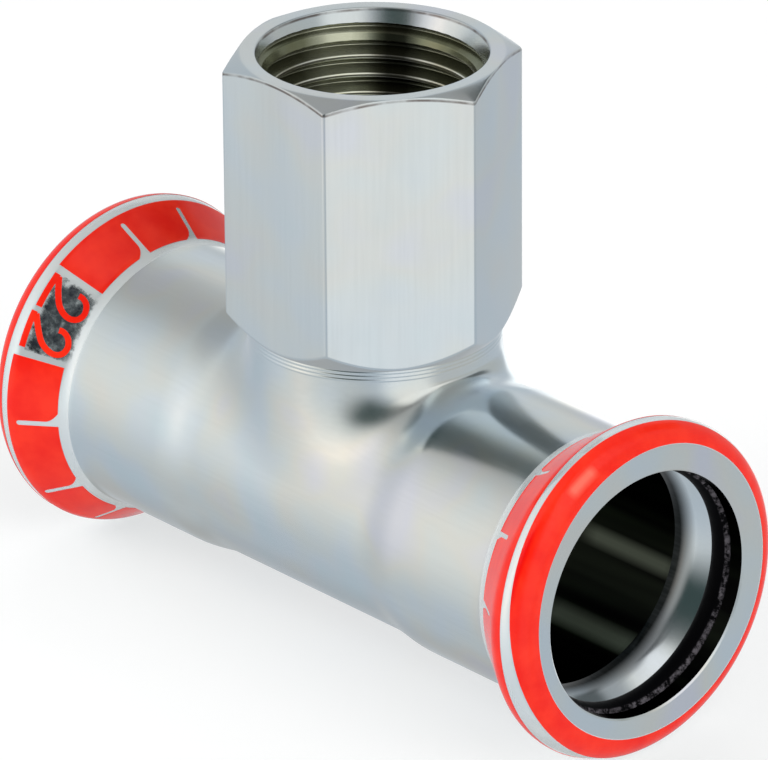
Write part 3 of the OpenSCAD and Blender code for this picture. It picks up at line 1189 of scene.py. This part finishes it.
    def thread(self, turn: np.ndarray) -> tuple[np.ndarray, np.ndarray]:
        """Builds the countersunk mouth, the thread and its runout.

        The thread is right-handed. With s the distance along the axis from a root, its sharp form
        is v = (pitch / 2 - s) / tan(flank) - spare, and the depth over the crests is v held
        between 0 and depth by (sqrt(v^2 + e^2) - sqrt((v - depth)^2 + e^2) + depth) / 2, which
        rounds both. The spare is what the sharp form has over the depth, half at the crests. The
        mouth's cone, r = mouth - (top - z) tan(slope), cuts off the thread's start, and its end
        fades out.

        Args:
            turn: The columns' angles.

        Returns:
            A grid from the mouth's edge to the plain bore, and a finish number for each quad.
        """
        high = self.top - self.mouth_land
        cone_height = (self.mouth_r - self.crest_r) / math.tan(self.mouth_slope)
        bottom = self.top - cone_height - self.thread_length
        fine = high - self.fine_turns * self.pitch
        rows, more_rows = 133, 190
        z = np.concatenate([np.linspace(high, fine, rows)[:-1],
                            np.linspace(fine, bottom, more_rows)])[:, None]
        phase = (z / self.pitch - turn[None] / (2 * math.pi) - self.start) % 1
        depth = self.root_r - self.crest_r
        sharp = self.pitch / 2 / math.tan(self.flank)
        v = sharp * (1 - 2 * np.abs(phase - 0.5)) - (sharp - depth) / 2
        e = self.thread_round
        held = (np.sqrt(v ** 2 + e ** 2) - np.sqrt((v - depth) ** 2 + e ** 2) + depth) / 2
        fade = np.clip((z - bottom) / self.pitch, 0, 1)
        radius = self.crest_r + held * fade * fade * (3 - 2 * fade)
        cone = self.mouth_r - (self.top - z) * math.tan(self.mouth_slope)
        cut = np.maximum.accumulate(radius > cone + 0.02, axis=0)
        return upright(np.maximum(radius, cone), turn[None], z), cut[1:].astype(int)

    def outline(self, turn: np.ndarray) -> np.ndarray:
        """Gives the outline of each column, so that the chamfers cut clean arcs in the flats.

        From the foot it goes out by a cone of 45 degrees, up the flat, in by the top chamfer, over
        the top face and a little way down the mouth.

        Args:
            turn: The columns' angles.

        Returns:
            A grid from the foot to the mouth.
        """
        hexed = self.hexagon(turn)
        foot, foot_r = self.bottom + self.weld_h, self.neck_r + self.foot_land
        land = self.flat_r - self.top_land
        mouth = self.mouth_r - self.mouth_land * math.tan(self.mouth_slope)
        corners = ((foot_r, foot), (hexed, foot + (hexed - foot_r)),
                   (hexed, self.top - (hexed - land) * math.tan(self.top_slope)),
                   (land, self.top), (self.mouth_r, self.top), (mouth, self.top - self.mouth_land))
        lines = np.stack([np.stack(np.broadcast_arrays(r, z, hexed)[:2], -1)
                          for r, z in corners], 1)
        lines = rounded(lines, (self.edge_round,) * 3 + (self.mouth_round,))
        return upright(lines[..., 0].T, turn[None], lines[..., 1].T)

    def socket(self) -> bpy.types.Object:
        """Makes the thread socket from its outline, its thread and its plain bore.

        Returns:
            The piece.
        """
        turn = self.angles()
        outside = self.outline(turn)
        thread, cut = self.thread(turn)
        last, foot = thread[-1, 0, 2], self.bottom + self.weld_h
        levels = (last - self.plain_step, (last + foot) / 2, foot)
        plain = np.stack([upright(self.plain_r, turn, z) for z in levels])
        rows = np.concatenate([outside, thread[1:], plain, outside[:1]])
        finish = np.zeros((len(rows) - 1, len(turn)), int)
        first = len(outside) - 1
        finish[first:first + len(cut)] = cut
        finish[first + len(cut):-1] = 2
        piece = Surface.joined([Surface.grid(rows, flip=True, finish=finish)]).piece(
            "threaded_socket_skin", [f.make() for f in self.finishes()], sharp=40.0)
        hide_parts("threaded_socket")
        return piece

    def build(self) -> list[bpy.types.Object]:
        """Makes the weld ring and the thread socket."""
        return [self.weld(), self.socket()]


@dataclass
class SealRings:
    """The two round rubber rings in the bead chambers, touching their walls.

    Attributes:
        skin: The bead's curve.
        wall: The body's wall thickness.
        bore_r: Radius of the rings' bore.
    """

    skin: BeadSkin
    wall: float = 1.6
    bore_r: float = 11.1

    def section(self) -> tuple[np.ndarray, float]:
        """Works out the circle that touches the chamber's front wall, its back and the bore.

        Returns:
            The section's centre as (behind the mouth, radius), and its radius.
        """
        s = self.skin
        tan, cos = math.tan(s.slope), math.cos(s.slope)
        back = s.centre[1] + (s.crown_round - self.wall) / cos + (s.centre[0] - self.wall) * tan
        size = (back - self.bore_r) / (1 + tan + 1 / cos)
        return np.array([self.wall + size, self.bore_r + size]), size

    def build(self) -> list[bpy.types.Object]:
        """Makes both rings, as a circle carried round the run.

        Returns:
            The two pieces.
        """
        rubber = Rubber().make()
        centre, size = self.section()
        a = np.linspace(0, 2 * math.pi, 49)[:, None]
        turn = np.linspace(0, 2 * math.pi, 193)[:-1][None]
        out = []
        for end in End:
            x = end.value * (self.skin.half - centre[0] - size * np.cos(a))
            ring = Surface.grid(polar(x, centre[1] + size * np.sin(a), turn),
                                flip=end is End.RIGHT)
            name = f"seal_ring_{end.name.lower()}"
            piece = Surface.joined([ring]).piece(name + "_rubber", [rubber])
            piece.visible_glossy = False
            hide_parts(name)
            out.append(piece)
        return out


@dataclass(frozen=True)
class EdgeWave:
    """An edge of the foil that isn't quite square to the run.

    Its distance is mean + swing cos(turn - high) + ripple cos(2 (turn - crest)), in degrees.

    Attributes:
        mean: The mean distance.
        swing: How far it swings once round.
        high: Where that swing is highest, in degrees.
        ripple: How far it swings twice round.
        crest: Where that swing is highest, in degrees.
    """

    mean: float
    swing: float = 0.0
    high: float = 0.0
    ripple: float = 0.0
    crest: float = 0.0

    def at(self, turn: np.ndarray) -> np.ndarray:
        """Gives the distance at angles in degrees."""
        return (self.mean + self.swing * np.cos(np.radians(turn - self.high))
                + self.ripple * np.cos(2 * np.radians(turn - self.crest)))


@dataclass
class Slit:
    """A slit between two flaps, which widens near the tube on one side.

    Attributes:
        turn: Its angle, in degrees.
        side: The side that widens, 1 towards larger angles and -1 towards smaller ones.
        width: Its width.
        flare: How much wider it is at the tube.
        flare_length: How long the wider part is.
    """

    turn: float
    side: int
    width: float = 0.5
    flare: float = 0.85
    flare_length: float = 1.1

    def edges(self, behind: np.ndarray, start: np.ndarray, end: np.ndarray,
              radius: np.ndarray) -> np.ndarray:
        """Gives both edges as angles in degrees at places behind the mouth.

        Half of the width is width / 2 sqrt(1 - (1 - q)^2), with q from 0 to 1 over the round end,
        and the flare is flare f^2, with f from 0 to 1 over its length, on one side.

        Args:
            behind: Distances behind the mouth.
            start: Where the slit starts.
            end: Where the band ends.
            radius: Radius of the surface there.

        Returns:
            Angles, of the shape of behind with 2 more at its end.
        """
        q = np.clip((behind - start) / (self.width / 2), 0, 1)
        half = self.width / 2 * np.sqrt(np.maximum(1 - (1 - q) ** 2, 0))
        f = np.clip((behind - (end - self.flare_length)) / self.flare_length, 0, 1)
        wide = self.flare * f * f
        low = -half - (wide if self.side < 0 else 0)
        high = half + (wide if self.side > 0 else 0)
        return self.turn + np.degrees(np.stack([low, high], -1) / radius[..., None])


@dataclass
class IndicatorFoil:
    """A clear foil wrapped over a bead, with its red bands, flaps and size mark.

    Attributes:
        skin: The bead's curve.
        end: Which end of the run.
        slits: The slits of the rear band.
        window: The gap in the rear band for the size mark, as two angles in degrees.
        front_in: The front band's inner edge, as a length on the bead's curve.
        front_out: The front band's outer edge, behind the mouth.
        rear_in: The rear band's front edge, behind the mouth.
        rear_out: The rear band's rear edge, behind the mouth.
        foil_end: The foil's mean rear edge, behind the mouth.
        foil_ahead: How far the foil starts before the front band.
        foil_low: Height of the foil's underside over the metal.
        foil_high: Height of its top.
        foil_thins: The share of its width over which it thins out, and what is left there.
        print_high: Height of the print's top.
        rear_length: The rear band's nominal length, of which places in it are a share.
        bridge: How much of that length is whole, in front of the slits.
        slit_round: How much of it, after the bridge, has the slits' round ends.
        column_turn: About how far apart the rear band's columns are, in degrees.
        mark_r: Radius at which a stroke's angles are measured.
    """

    skin: BeadSkin
    end: End
    slits: list[Slit]
    window: Pair
    front_in: EdgeWave
    front_out: EdgeWave
    rear_in: EdgeWave
    rear_out: EdgeWave
    foil_end: float = 8.0
    foil_ahead: float = 0.06
    foil_low: float = 0.02
    foil_high: float = 0.07
    foil_thins: Pair = (0.06, 0.15)
    print_high: float = 0.115
    rear_length: float = 4.0
    bridge: float = 0.75
    slit_round: float = 0.2
    column_turn: float = 1.6
    mark_r: float = 14.9

    @property
    def label(self) -> str:
        """The end's name in small letters."""
        return self.end.name.lower()

    def layer(self, length: np.ndarray, turn: np.ndarray, keep: np.ndarray | None, closed: bool,
              low: float, high: float | np.ndarray) -> Surface:
        """Builds a closed thin layer over the bead between two heights.

        Args:
            length: The grid's lengths along the bead's curve.
            turn: The grid's angles, in degrees.
            keep: Which quads the layer has, or all.
            closed: Whether the last column joins the first.
            low: The lower height.
            high: The upper height, or one for each row.

        Returns:
            The closed surface.
        """
        top = self.skin.at(length, np.radians(turn), high, self.end)
        base = self.skin.at(length, np.radians(turn), low, self.end)
        rows, cols = length.shape
        kept = np.ones((rows - 1, cols if closed else cols - 1), bool) if keep is None else keep
        turned = self.end is End.RIGHT
        parts = [Surface.grid(top, closed, turned, kept),
                 Surface.grid(base, closed, not turned, kept)]
        wide = np.zeros((rows + 1, kept.shape[1] + 2), bool)
        wide[1:-1, 1:-1] = kept
        if closed:
            wide[:, 0], wide[:, -1] = wide[:, -2], wide[:, 1]
        both = np.concatenate([top.reshape(-1, 3), base.reshape(-1, 3)])
        i, j = np.nonzero(wide[1:, 1:-1] != wide[:-1, 1:-1])
        across = np.stack([i * cols + j, i * cols + (j + 1) % cols])
        parts.append(self.wall(both, across, wide[1:, 1:-1][i, j] ^ turned))
        down = wide[1:-1, 1:] != wide[1:-1, :-1]
        if closed:
            down[:, -1] = False
        i, j = np.nonzero(down)
        upwards = np.stack([i * cols + j % cols, (i + 1) * cols + j % cols])
        parts.append(self.wall(both, upwards, wide[1:-1, :-1][i, j] ^ turned))
        return Surface.joined(parts)

    @staticmethod
    def wall(points: np.ndarray, edges: np.ndarray, flip: np.ndarray) -> Surface:
        """Makes the thin wall between the two sheets of a layer.

        Args:
            points: The points of the upper sheet, and then as many of the lower one.
            edges: The two point numbers of each edge of the upper sheet, 2 x count.
            flip: Which quads are turned over.

        Returns:
            The wall.
        """
        a, b = edges
        under = len(points) // 2
        quads = np.stack([a, b, b + under, a + under], -1)
        quads = np.where(flip[:, None], quads[:, ::-1], quads)
        return Surface(points, quads, np.zeros(len(quads), int))

    def foil(self, clear: bpy.types.Material) -> bpy.types.Object:
        """Makes the clear foil from inside the front band to behind the flaps.

        Args:
            clear: Its material.

        Returns:
            The piece.
        """
        turn = np.arange(0, 360, 2.0)[None]
        start = self.front_in.at(turn) - self.foil_ahead
        swing = self.rear_out.at(turn) - self.rear_out.mean
        stop = self.skin.length_at(self.foil_end + swing)
        v = np.linspace(0, 1, 64)[:, None]
        share, left = self.foil_thins
        thick = (self.foil_high - self.foil_low) * np.clip((1 - v) / share, left, 1)
        film = self.layer(start + (stop - start) * v, turn + 0 * v, None, True, self.foil_low,
                          self.foil_low + thick)
        piece = film.piece(f"foil_{self.label}_film", [clear])
        piece.visible_glossy = False
        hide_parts(f"foil_{self.label}")
        return piece

    def front(self) -> Surface:
        """Builds the front band, which goes all the way round.

        Returns:
            The band.
        """
        turn = np.arange(0, 360, 1.5)[None]
        v = np.linspace(0, 1, 30)[:, None]
        start, stop = self.front_in.at(turn), self.skin.length_at(self.front_out.at(turn))
        return self.layer(start + (stop - start) * v, turn + 0 * v, None, True, self.foil_high,
                          self.print_high)

    def rear(self) -> Surface:
        """Builds the rear band with its flaps, between the window's two borders.

        Its columns are bent: between two slits they are spread evenly from one slit's edge to the
        next one's, so that every edge of a slit lies on a column.

        Returns:
            The band.
        """
        low, high = self.window[1], self.window[0] + 360
        slits = sorted(((s.turn - low) % 360 + low, s) for s in self.slits)
        cut = self.bridge + self.slit_round
        places = np.concatenate([
            np.linspace(0, self.bridge, 7)[:-1],
            self.bridge + self.slit_round * np.linspace(0, 1, 6)[:-1] ** 1.5,
            np.linspace(cut, self.rear_length, 34)])
        v = places / self.rear_length
        whole = v[:-1] * self.rear_length < self.bridge - 1e-6
        columns, keep = [], []
        before = np.full(len(v), low)
        for at, slit in slits + [(high, None)]:
            mean = np.full(len(v), at)
            begin, end = self.rear_in.at(mean), self.rear_out.at(mean)
            behind = begin + (end - begin) * v
            if slit is None:
                edges = np.stack([mean, mean], -1)
            else:
                start = begin + (end - begin) * self.bridge / self.rear_length
                edges = slit.edges(behind, start, end, self.skin.radius_at(behind))
                edges = edges - slit.turn + at
            count = max(int((at - before[0]) / self.column_turn), 2)
            u = np.linspace(0, 1, count + 1)
            columns.append(before[:, None] + (edges[:, :1] - before[:, None]) * u)
            keep.append(np.ones((len(v) - 1, count), bool))
            if slit is not None:
                keep.append(whole[:, None])
                before = edges[:, 1]
        turns = np.concatenate(columns, axis=1)
        start, stop = self.rear_in.at(turns), self.rear_out.at(turns)
        length = self.skin.length_at(start + (stop - start) * v[:, None])
        return self.layer(length, turns, np.concatenate(keep, axis=1), False, self.foil_high,
                          self.print_high)

    def bands(self, red: bpy.types.Material) -> bpy.types.Object:
        """Makes the red front band and the rear band, as one printed layer.

        Args:
            red: Its material.

        Returns:
            The piece.
        """
        both = Surface.joined([self.front(), self.rear()])
        piece = both.piece(f"print_{self.label}_bands", [red])
        piece.visible_glossy = piece.visible_diffuse = False
        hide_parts(f"print_{self.label}")
        return piece

    def ribbon(self, path: np.ndarray, width: float, low: float, high: float) -> Surface:
        """Builds a flat stroke on the bead.

        The stroke's edges lie half of the width to the left and right of its path, square to it.

        Args:
            path: The path as (angle in degrees, distance behind the mouth).
            width: The stroke's width.
            low: The lower height.
            high: The upper height.

        Returns:
            The closed stroke.
        """
        flat = np.stack([np.radians(path[:, 0]) * self.mark_r,
                         self.skin.length_at(path[:, 1])], -1)
        along = np.gradient(flat, axis=0)
        square = np.stack([-along[:, 1], along[:, 0]], -1)
        side = square / np.linalg.norm(along, axis=1, keepdims=True)
        across = np.linspace(-width / 2, width / 2, 5)[None, :, None]
        spot = flat[:, None] + side[:, None] * across
        turn = np.degrees(spot[..., 0] / self.mark_r)
        return self.layer(spot[..., 1], turn, None, False, low, high)


@dataclass
class SizeMark:
    """The size in figures, read with the tube upwards, as strokes on the foil's window.

    Attributes:
        foil: The foil that carries it.
        starts: The lower left corner of each figure, as (angle, distance behind the mouth).
        film_turns: The two angles between which the sheet of painted reflection behind it lies.
        film_behind: The two distances behind the mouth between which it lies.
        film_heights: That sheet's underside and top over the foil.
        stroke: Width of a stroke.
        gap: Height of the strokes' underside over the foil.
        sunk: How much lower than the bands a figure's base is.
        lift: How much higher its upper stroke is than its base.
    """

    foil: IndicatorFoil
    starts: tuple[Pair, ...]
    film_turns: Pair
    film_behind: Pair = (3.0, 7.5)
    film_heights: Pair = (0.002, 0.008)
    stroke: float = 0.6
    gap: float = 0.01
    sunk: float = 0.015
    lift: float = 0.012

    def figure_two(self) -> tuple[np.ndarray, np.ndarray]:
        """Gives a figure two's strokes, as (angle, distance) from its corner.

        The upper stroke is a smooth curve through points on a two. Between b and c, with a before
        them and d after them, it is half of 2 b + (c - a) u + (2 a - 5 b + 4 c - d) u^2 +
        (3 b - a - 3 c + d) u^3.

        Returns:
            The base, and the upper stroke.
        """
        base = np.linspace((1.0, 0.0), (-12.0, 0.0), 12)
        knots = np.array([[1.6, -0.2], [0.2, 0.2], [-5.0, 0.9], [-8.5, 1.45], [-10.6, 2.1],
                          [-11.2, 2.75], [-9.9, 3.32], [-6.9, 3.56], [-3.7, 3.34], [-2.0, 2.85],
                          [-1.9, 2.35], [-2.3, 2.0]])
        a, b, c, d = knots[:-3, None], knots[1:-2, None], knots[2:-1, None], knots[3:, None]
        u = np.linspace(0, 1, 9)[:-1][None, :, None]
        curve = 0.5 * (2 * b + (c - a) * u + (2 * a - 5 * b + 4 * c - d) * u ** 2
                       + (3 * b - a - 3 * c + d) * u ** 3)
        return base, curve.reshape(-1, 2)

    def build(self, red: bpy.types.Material, film: bpy.types.Material) -> list[bpy.types.Object]:
        """Makes the figures and the sheet of painted reflection behind them.

        Args:
            red: The figures' material.
            film: The material of that sheet of painted reflection.

        Returns:
            The two pieces.
        """
        foil = self.foil
        under, over = foil.foil_high + self.gap, foil.print_high - self.sunk
        parts = []
        for start in self.starts:
            for path, lift in zip(self.figure_two(), (0.0, self.lift)):
                parts.append(foil.ribbon(path + start, self.stroke, under, over + lift))
        marks = Surface.joined(parts).piece(f"size_mark_{foil.label}", [red])
        # A sheet of painted reflection behind the figures.
        turn, v = np.meshgrid(np.linspace(*self.film_turns, 40), np.linspace(0, 1, 24))
        near, far = self.film_behind
        low, high = (foil.foil_high + height for height in self.film_heights)
        sheet = foil.layer(foil.skin.length_at(near + (far - near) * v), turn, None, False, low,
                           high)
        back = sheet.piece(f"window_film_{foil.label}", [film])
        marks.visible_glossy = marks.visible_diffuse = back.visible_glossy = False
        return [marks, back]


@dataclass
class FoilPair:
    """Both foils with their print, each as it was wrapped on.

    Angles are in degrees, and the right foil's window lies right_turn before the left one's.

    Attributes:
        skin: The beads' curve.
        window: The gap in the left foil's rear band.
        seen_slits: The slits of the left foil that the photograph shows.
        back_slit: The first slit on its back.
        back_pitch: From one slit there to the next.
        back_count: How many there are.
        right_turn: How far the right foil is turned from the left one.
        right_slit: The right foil's first slit.
        right_flaps: How many even places for slits it has, two of which the window takes.
        mark_turns: Where the left foil's two figures start.
        left_mark: How far behind the mouth they start.
        right_mark: The same on the right foil.
        film_middle: The middle of the left foil's sheet of painted reflection.
        film_turns: Where that sheet starts and ends.
        ink: A painted highlight and a darker strip of painted shade on the right foil's print.
    """

    skin: BeadSkin
    window: Pair = (-71.5, -37.5)
    seen_slits: tuple[float, ...] = (15.0, -10.6, -96.0, -128.8, -156.3)
    back_slit: float = 42.0
    back_pitch: float = 26.8
    back_count: int = 6
    right_turn: float = 177.5
    right_slit: float = 164.0
    right_flaps: int = 13
    mark_turns: Pair = (-41.4, -56.3)
    left_mark: Pair = (3.42, 3.3)
    right_mark: Pair = (3.0, 3.0)
    film_middle: float = -54.6
    film_turns: Pair = (-69.2, -40.0)
    # A painted highlight, and a darker strip of painted shade beside the clear line.
    ink: tuple[tuple[float, float, float, float, Colour], ...] = (
        (-29.5, 7.0, 35.75, 36.65, (0.95, 0.14, 0.09)),
        (-65.0, 17.0, 34.9, 35.8, (0.78, 0.001, 0.001)))

    @staticmethod
    def side_to(turn: float, middle: float) -> int:
        """Gives the side of a slit that faces the window's middle."""
        return -1 if math.sin(math.radians(turn - middle)) > 0 else 1

    def left(self) -> IndicatorFoil:
        """Lays out the left foil, with the slits that are seen and even ones at its back.

        Returns:
            The foil.
        """
        middle = sum(self.window) / 2
        back = [self.back_slit + self.back_pitch * i for i in range(self.back_count)]
        slits = [Slit(turn, self.side_to(turn, middle)) for turn in [*self.seen_slits, *back]]
        return IndicatorFoil(
            self.skin, End.LEFT, slits, self.window,
            front_in=EdgeWave(0.17), front_out=EdgeWave(1.82, 0.3, -12),
            rear_in=EdgeWave(2.9, 0.34, 41, 0.07, -24),
            rear_out=EdgeWave(6.98, 0.33, 10, 0.09, -39))

    def right(self) -> IndicatorFoil:
        """Lays out the right foil, whose slits are even and narrower.

        Returns:
            The foil.
        """
        window = (self.window[0] - self.right_turn, self.window[1] - self.right_turn)
        middle = sum(window) / 2
        turns = [self.right_slit + 360 / self.right_flaps * i for i in range(self.right_flaps - 2)]
        slits = [Slit(turn, self.side_to(turn, middle), width=0.4, flare=0.4) for turn in turns]
        return IndicatorFoil(
            self.skin, End.RIGHT, slits, window, bridge=1.9,
            front_in=EdgeWave(0.06, 0.48, 60, 0.18, -13),
            front_out=EdgeWave(1.23, 0.3, 2, 0.52, -31),
            rear_in=EdgeWave(2.57, 0.56, 47, 0.22, -12),
            rear_out=EdgeWave(7.0, 0.4, -15))

    def build(self) -> list[bpy.types.Object]:
        """Makes both foils, their bands and their size marks.

        Returns:
            The eight pieces.
        """
        clear, mark_red = ClearFoil().make(), RedPrint("mark_red").make()
        plans = ((self.left(), RedPrint(), self.left_mark, 0.0),
                 (self.right(), RedPrint("red_print_right", patches=self.ink), self.right_mark,
                  -self.right_turn))
        out = []
        for foil, red, behind, shift in plans:
            out += [foil.foil(clear), foil.bands(red.make())]
            # The window's sheet of painted reflection.
            film = WindowReflectionSheet(f"window_film_{foil.label}", self.film_middle + shift).make()
            starts = tuple((turn + shift, at) for turn, at in zip(self.mark_turns, behind))
            mark = SizeMark(foil, starts, tuple(turn + shift for turn in self.film_turns))
            out += mark.build(mark_red, film)
        return out


@dataclass
class Viewpoint:
    """The camera of the photograph, a long lens from the right front, above the run.

    Attributes:
        azimuth: Its way round, in degrees from the front.
        elevation: Its height, in degrees over the horizon.
        roll: Its roll, in degrees.
        distance: Its distance, in millimetres.
        lens: Focal length, in millimetres.
        sensor: Width of the sensor, in millimetres.
        clip: The nearest and the farthest that it sees, in metres.
        aim: What it aims at, as millimetres to the right and up.
    """

    azimuth: float = 48.71
    elevation: float = 24.04
    roll: float = -0.44
    distance: float = 789.5
    lens: float = 403.5
    sensor: float = 36.0
    clip: Pair = (0.01, 20.0)
    aim: Pair = (0.81, 8.96)

    def build(self) -> bpy.types.Object:
        """Makes the camera and sets it as the scene's.

        Returns:
            The camera.
        """
        a, e, r = (math.radians(v) for v in (self.azimuth, self.elevation, self.roll))
        back = direction(a, e)
        right = Vector((math.cos(a), math.sin(a), 0))
        up = back.cross(right)
        across = math.cos(r) * right + math.sin(r) * up
        above = -math.sin(r) * right + math.cos(r) * up
        target = self.aim[0] * right + Vector((0, 0, self.aim[1]))
        place = (target + back * self.distance) * MM
        data = bpy.data.cameras.new("photo_camera")
        data.sensor_width, data.lens = self.sensor, self.lens
        data.clip_start, data.clip_end = self.clip
        camera = bpy.data.objects.new("photo_camera", data)
        turned = Matrix((across, above, back)).transposed().to_4x4()
        camera.matrix_world = Matrix.Translation(place) @ turned
        bpy.context.scene.collection.objects.link(camera)
        bpy.context.scene.camera = camera
        return camera


@dataclass(frozen=True)
class Softbox:
    """One soft area light, aimed at the tee, that lights the print and the floor.

    Attributes:
        name: Its name.
        azimuth: Its way round, in degrees from the front.
        elevation: Its height over the horizon, in degrees.
        distance: Its distance, in metres.
        size: Its width and height, in metres.
        power: Its power, in watts.
    """

    name: str
    azimuth: float
    elevation: float
    distance: float
    size: Pair
    power: float

    def build(self) -> bpy.types.Object:
        """Makes the light.

        Returns:
            The light.
        """
        way = direction(math.radians(self.azimuth), math.radians(self.elevation))
        data = bpy.data.lights.new(self.name, "AREA")
        data.shape, data.energy = "RECTANGLE", self.power
        data.size, data.size_y = self.size
        light = bpy.data.objects.new(self.name, data)
        light.location = way * self.distance
        light.rotation_mode = "QUATERNION"
        light.rotation_quaternion = way.to_track_quat("Z", "Y")
        light.visible_glossy = False
        bpy.context.scene.collection.objects.link(light)
        return light


@dataclass(frozen=True)
class Panel:
    """A soft-edged light or dark part of the studio's surround, seen only as a reflection.

    Attributes:
        azimuth: The middle's way round, in degrees from the front.
        elevation: The middle's height over the horizon, in degrees.
        half: Half of its width and height, in degrees.
        soft: How far its sides fade, to the sides and up and down, in degrees.
        colour: Its light.
    """

    azimuth: float
    elevation: float
    half: Pair
    soft: Pair
    colour: Colour

    def mask(self, g: Graph, level: Socket, height: Socket) -> Socket:
        """Builds the panel's mask.

        It is the product of two smooth steps, one of the angle between the two ways round and one
        of the difference in height. A panel that goes all the way round has the second one only.

        Args:
            g: The world's graph.
            level: The way to the point, level and of length 1.
            height: The point's height over the horizon, in radians.

        Returns:
            The mask, 0 to 1.
        """
        a = math.radians(self.azimuth)
        middle = (math.sin(a), -math.cos(a), 0)
        to = g.add("ShaderNodeVectorMath", {0: level, 1: middle}, operation="DOT_PRODUCT")
        turn = g.math("ARCCOSINE", g.math("MINIMUM", to.outputs["Value"], 0.999999))
        rise = g.math("ABSOLUTE", g.math("SUBTRACT", height, math.radians(self.elevation)))
        steps = []
        for value, half, soft in zip((turn, rise), self.half, self.soft):
            ends = {0: value, 1: math.radians(half + soft), 2: math.radians(half), 3: 0.0, 4: 1.0}
            if half < 180:
                step = g.add("ShaderNodeMapRange", ends, interpolation_type="SMOOTHSTEP")
                steps.append(step.outputs[0])
        return steps[0] if len(steps) == 1 else g.math("MULTIPLY", *steps)


@dataclass
class Surround:
    """The studio round the tee: white to the camera, and soft panels to what is glossy.

    Attributes:
        base: The light where there is no panel.
        panels: The panels, each of which covers what comes before it.
    """

    base: Colour = (0.57, 0.605, 0.64)
    panels: tuple[Panel, ...] = (
        Panel(0, 90, (180, 38), (0, 20), (0.415, 0.42, 0.42)),
        Panel(145, 11, (45, 14), (20, 14), (0.54, 0.555, 0.55)),
        Panel(-132, 21, (8, 6), (14, 12), (0.72, 0.735, 0.74)),
        Panel(178, 40, (10, 8), (12, 10), (0.12, 0.13, 0.13)),
        Panel(-127, -70, (14, 13), (46, 36), (0.46, 0.465, 0.47)),
        Panel(-145, -15.5, (7.5, 3), (7.5, 14), (1.36, 1.36, 1.34)),
        Panel(-20, 10, (7.5, 4), (60, 60), (1.0, 0.99, 0.96)),
        Panel(-20, 5.5, (4, 2), (7, 36), (1.28, 1.19, 1.10)),
        Panel(78, 5, (14, 36), (16, 15), (0.97, 0.97, 0.955)),
        Panel(76, 56, (36, 13), (41, 13), (1.02, 1.02, 1.0)),
        Panel(24, 28, (8, 14), (25, 34), (0.05, 0.075, 0.073)),
        Panel(25, 75.5, (9, 6.5), (10, 43), (0.16, 0.165, 0.165)))

    def build(self) -> None:
        """Makes the world."""
        world = bpy.data.worlds.new("surround")
        bpy.context.scene.world = world
        g = Graph(world)
        way = g.coords.outputs["Generated"]
        split = g.add("ShaderNodeSeparateXYZ", {0: way})
        flat = g.add("ShaderNodeVectorMath", {0: way, 1: (1, 1, 0)}, operation="MULTIPLY")
        level = g.add("ShaderNodeVectorMath", {0: flat.outputs[0]}, operation="NORMALIZE")
        height = g.math("ARCSINE", split.outputs[2])
        colour: tuple | Socket = (*self.base, 1.0)
        for panel in self.panels:
            mask = panel.mask(g, level.outputs[0], height)
            colour = g.blend(mask, colour, (*panel.colour, 1.0))
        seen = g.add("ShaderNodeBackground", {"Color": (1, 1, 1, 1)})
        lit = g.add("ShaderNodeBackground", {"Color": colour})
        path = g.add("ShaderNodeLightPath")
        mixed = g.add("ShaderNodeMixShader", {
            0: path.outputs["Is Camera Ray"], 1: lit.outputs[0], 2: seen.outputs[0]})
        g.finish(mixed, "ShaderNodeOutputWorld")


@dataclass
class Studio:
    """A pale floor, the surround and soft boxes.

    Attributes:
        floor_z: Height of the floor, in millimetres.
        floor_half: Half of its width, in millimetres.
        floor_colour: Its colour.
        floor_glow: Its own light, which makes it white where nothing shades it.
        boxes: The lights.
    """

    floor_z: float = -16.3
    floor_half: float = 3000.0
    floor_colour: Colour = (0.5, 0.5, 0.5)
    floor_glow: float = 0.53
    boxes: tuple[Softbox, ...] = (
        Softbox("key", -25.0, 35.0, 0.9, (0.7, 0.6), 3.4),
        Softbox("side", 80.0, 35.0, 0.9, (0.6, 0.6), 2.6),
        Softbox("back", -150.0, 50.0, 1.0, (0.8, 0.5), 1.0))

    def floor(self) -> bpy.types.Object:
        """Makes the floor, one large square.

        Returns:
            The piece.
        """
        size = self.floor_half
        x, y = np.meshgrid((-size, size), (-size, size))
        grid = np.stack([x, y, np.full_like(x, self.floor_z)], -1)
        paper = Graph.material("floor_paper").principled({
            "Base Color": (*self.floor_colour, 1.0), "Roughness": 1.0, "Specular IOR Level": 0.0,
            "Emission Color": (1.0, 1.0, 1.0, 1.0), "Emission Strength": self.floor_glow})
        piece = Surface.grid(grid, closed=False, flip=True).piece("floor", [paper])
        piece.visible_glossy = False
        return piece

    def build(self) -> None:
        """Makes the floor, the surround and the lights."""
        self.floor()
        Surround().build()
        for box in self.boxes:
            box.build()


def main() -> None:
    """Builds the scene and reports each piece."""
    logging.basicConfig(level=logging.INFO, format="%(message)s")
    bpy.context.scene.view_settings.view_transform = "Standard"
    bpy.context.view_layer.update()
    Viewpoint().build()
    skin = BeadSkin()
    for part in (TeeBody(skin), Branch(), SealRings(skin), FoilPair(skin)):
        for piece in part.build():
            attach(piece, BODY)
            LOG.info("%s: %d faces", piece.name, len(piece.data.polygons))
    Studio().build()


if __name__ == "__main__":
    main()
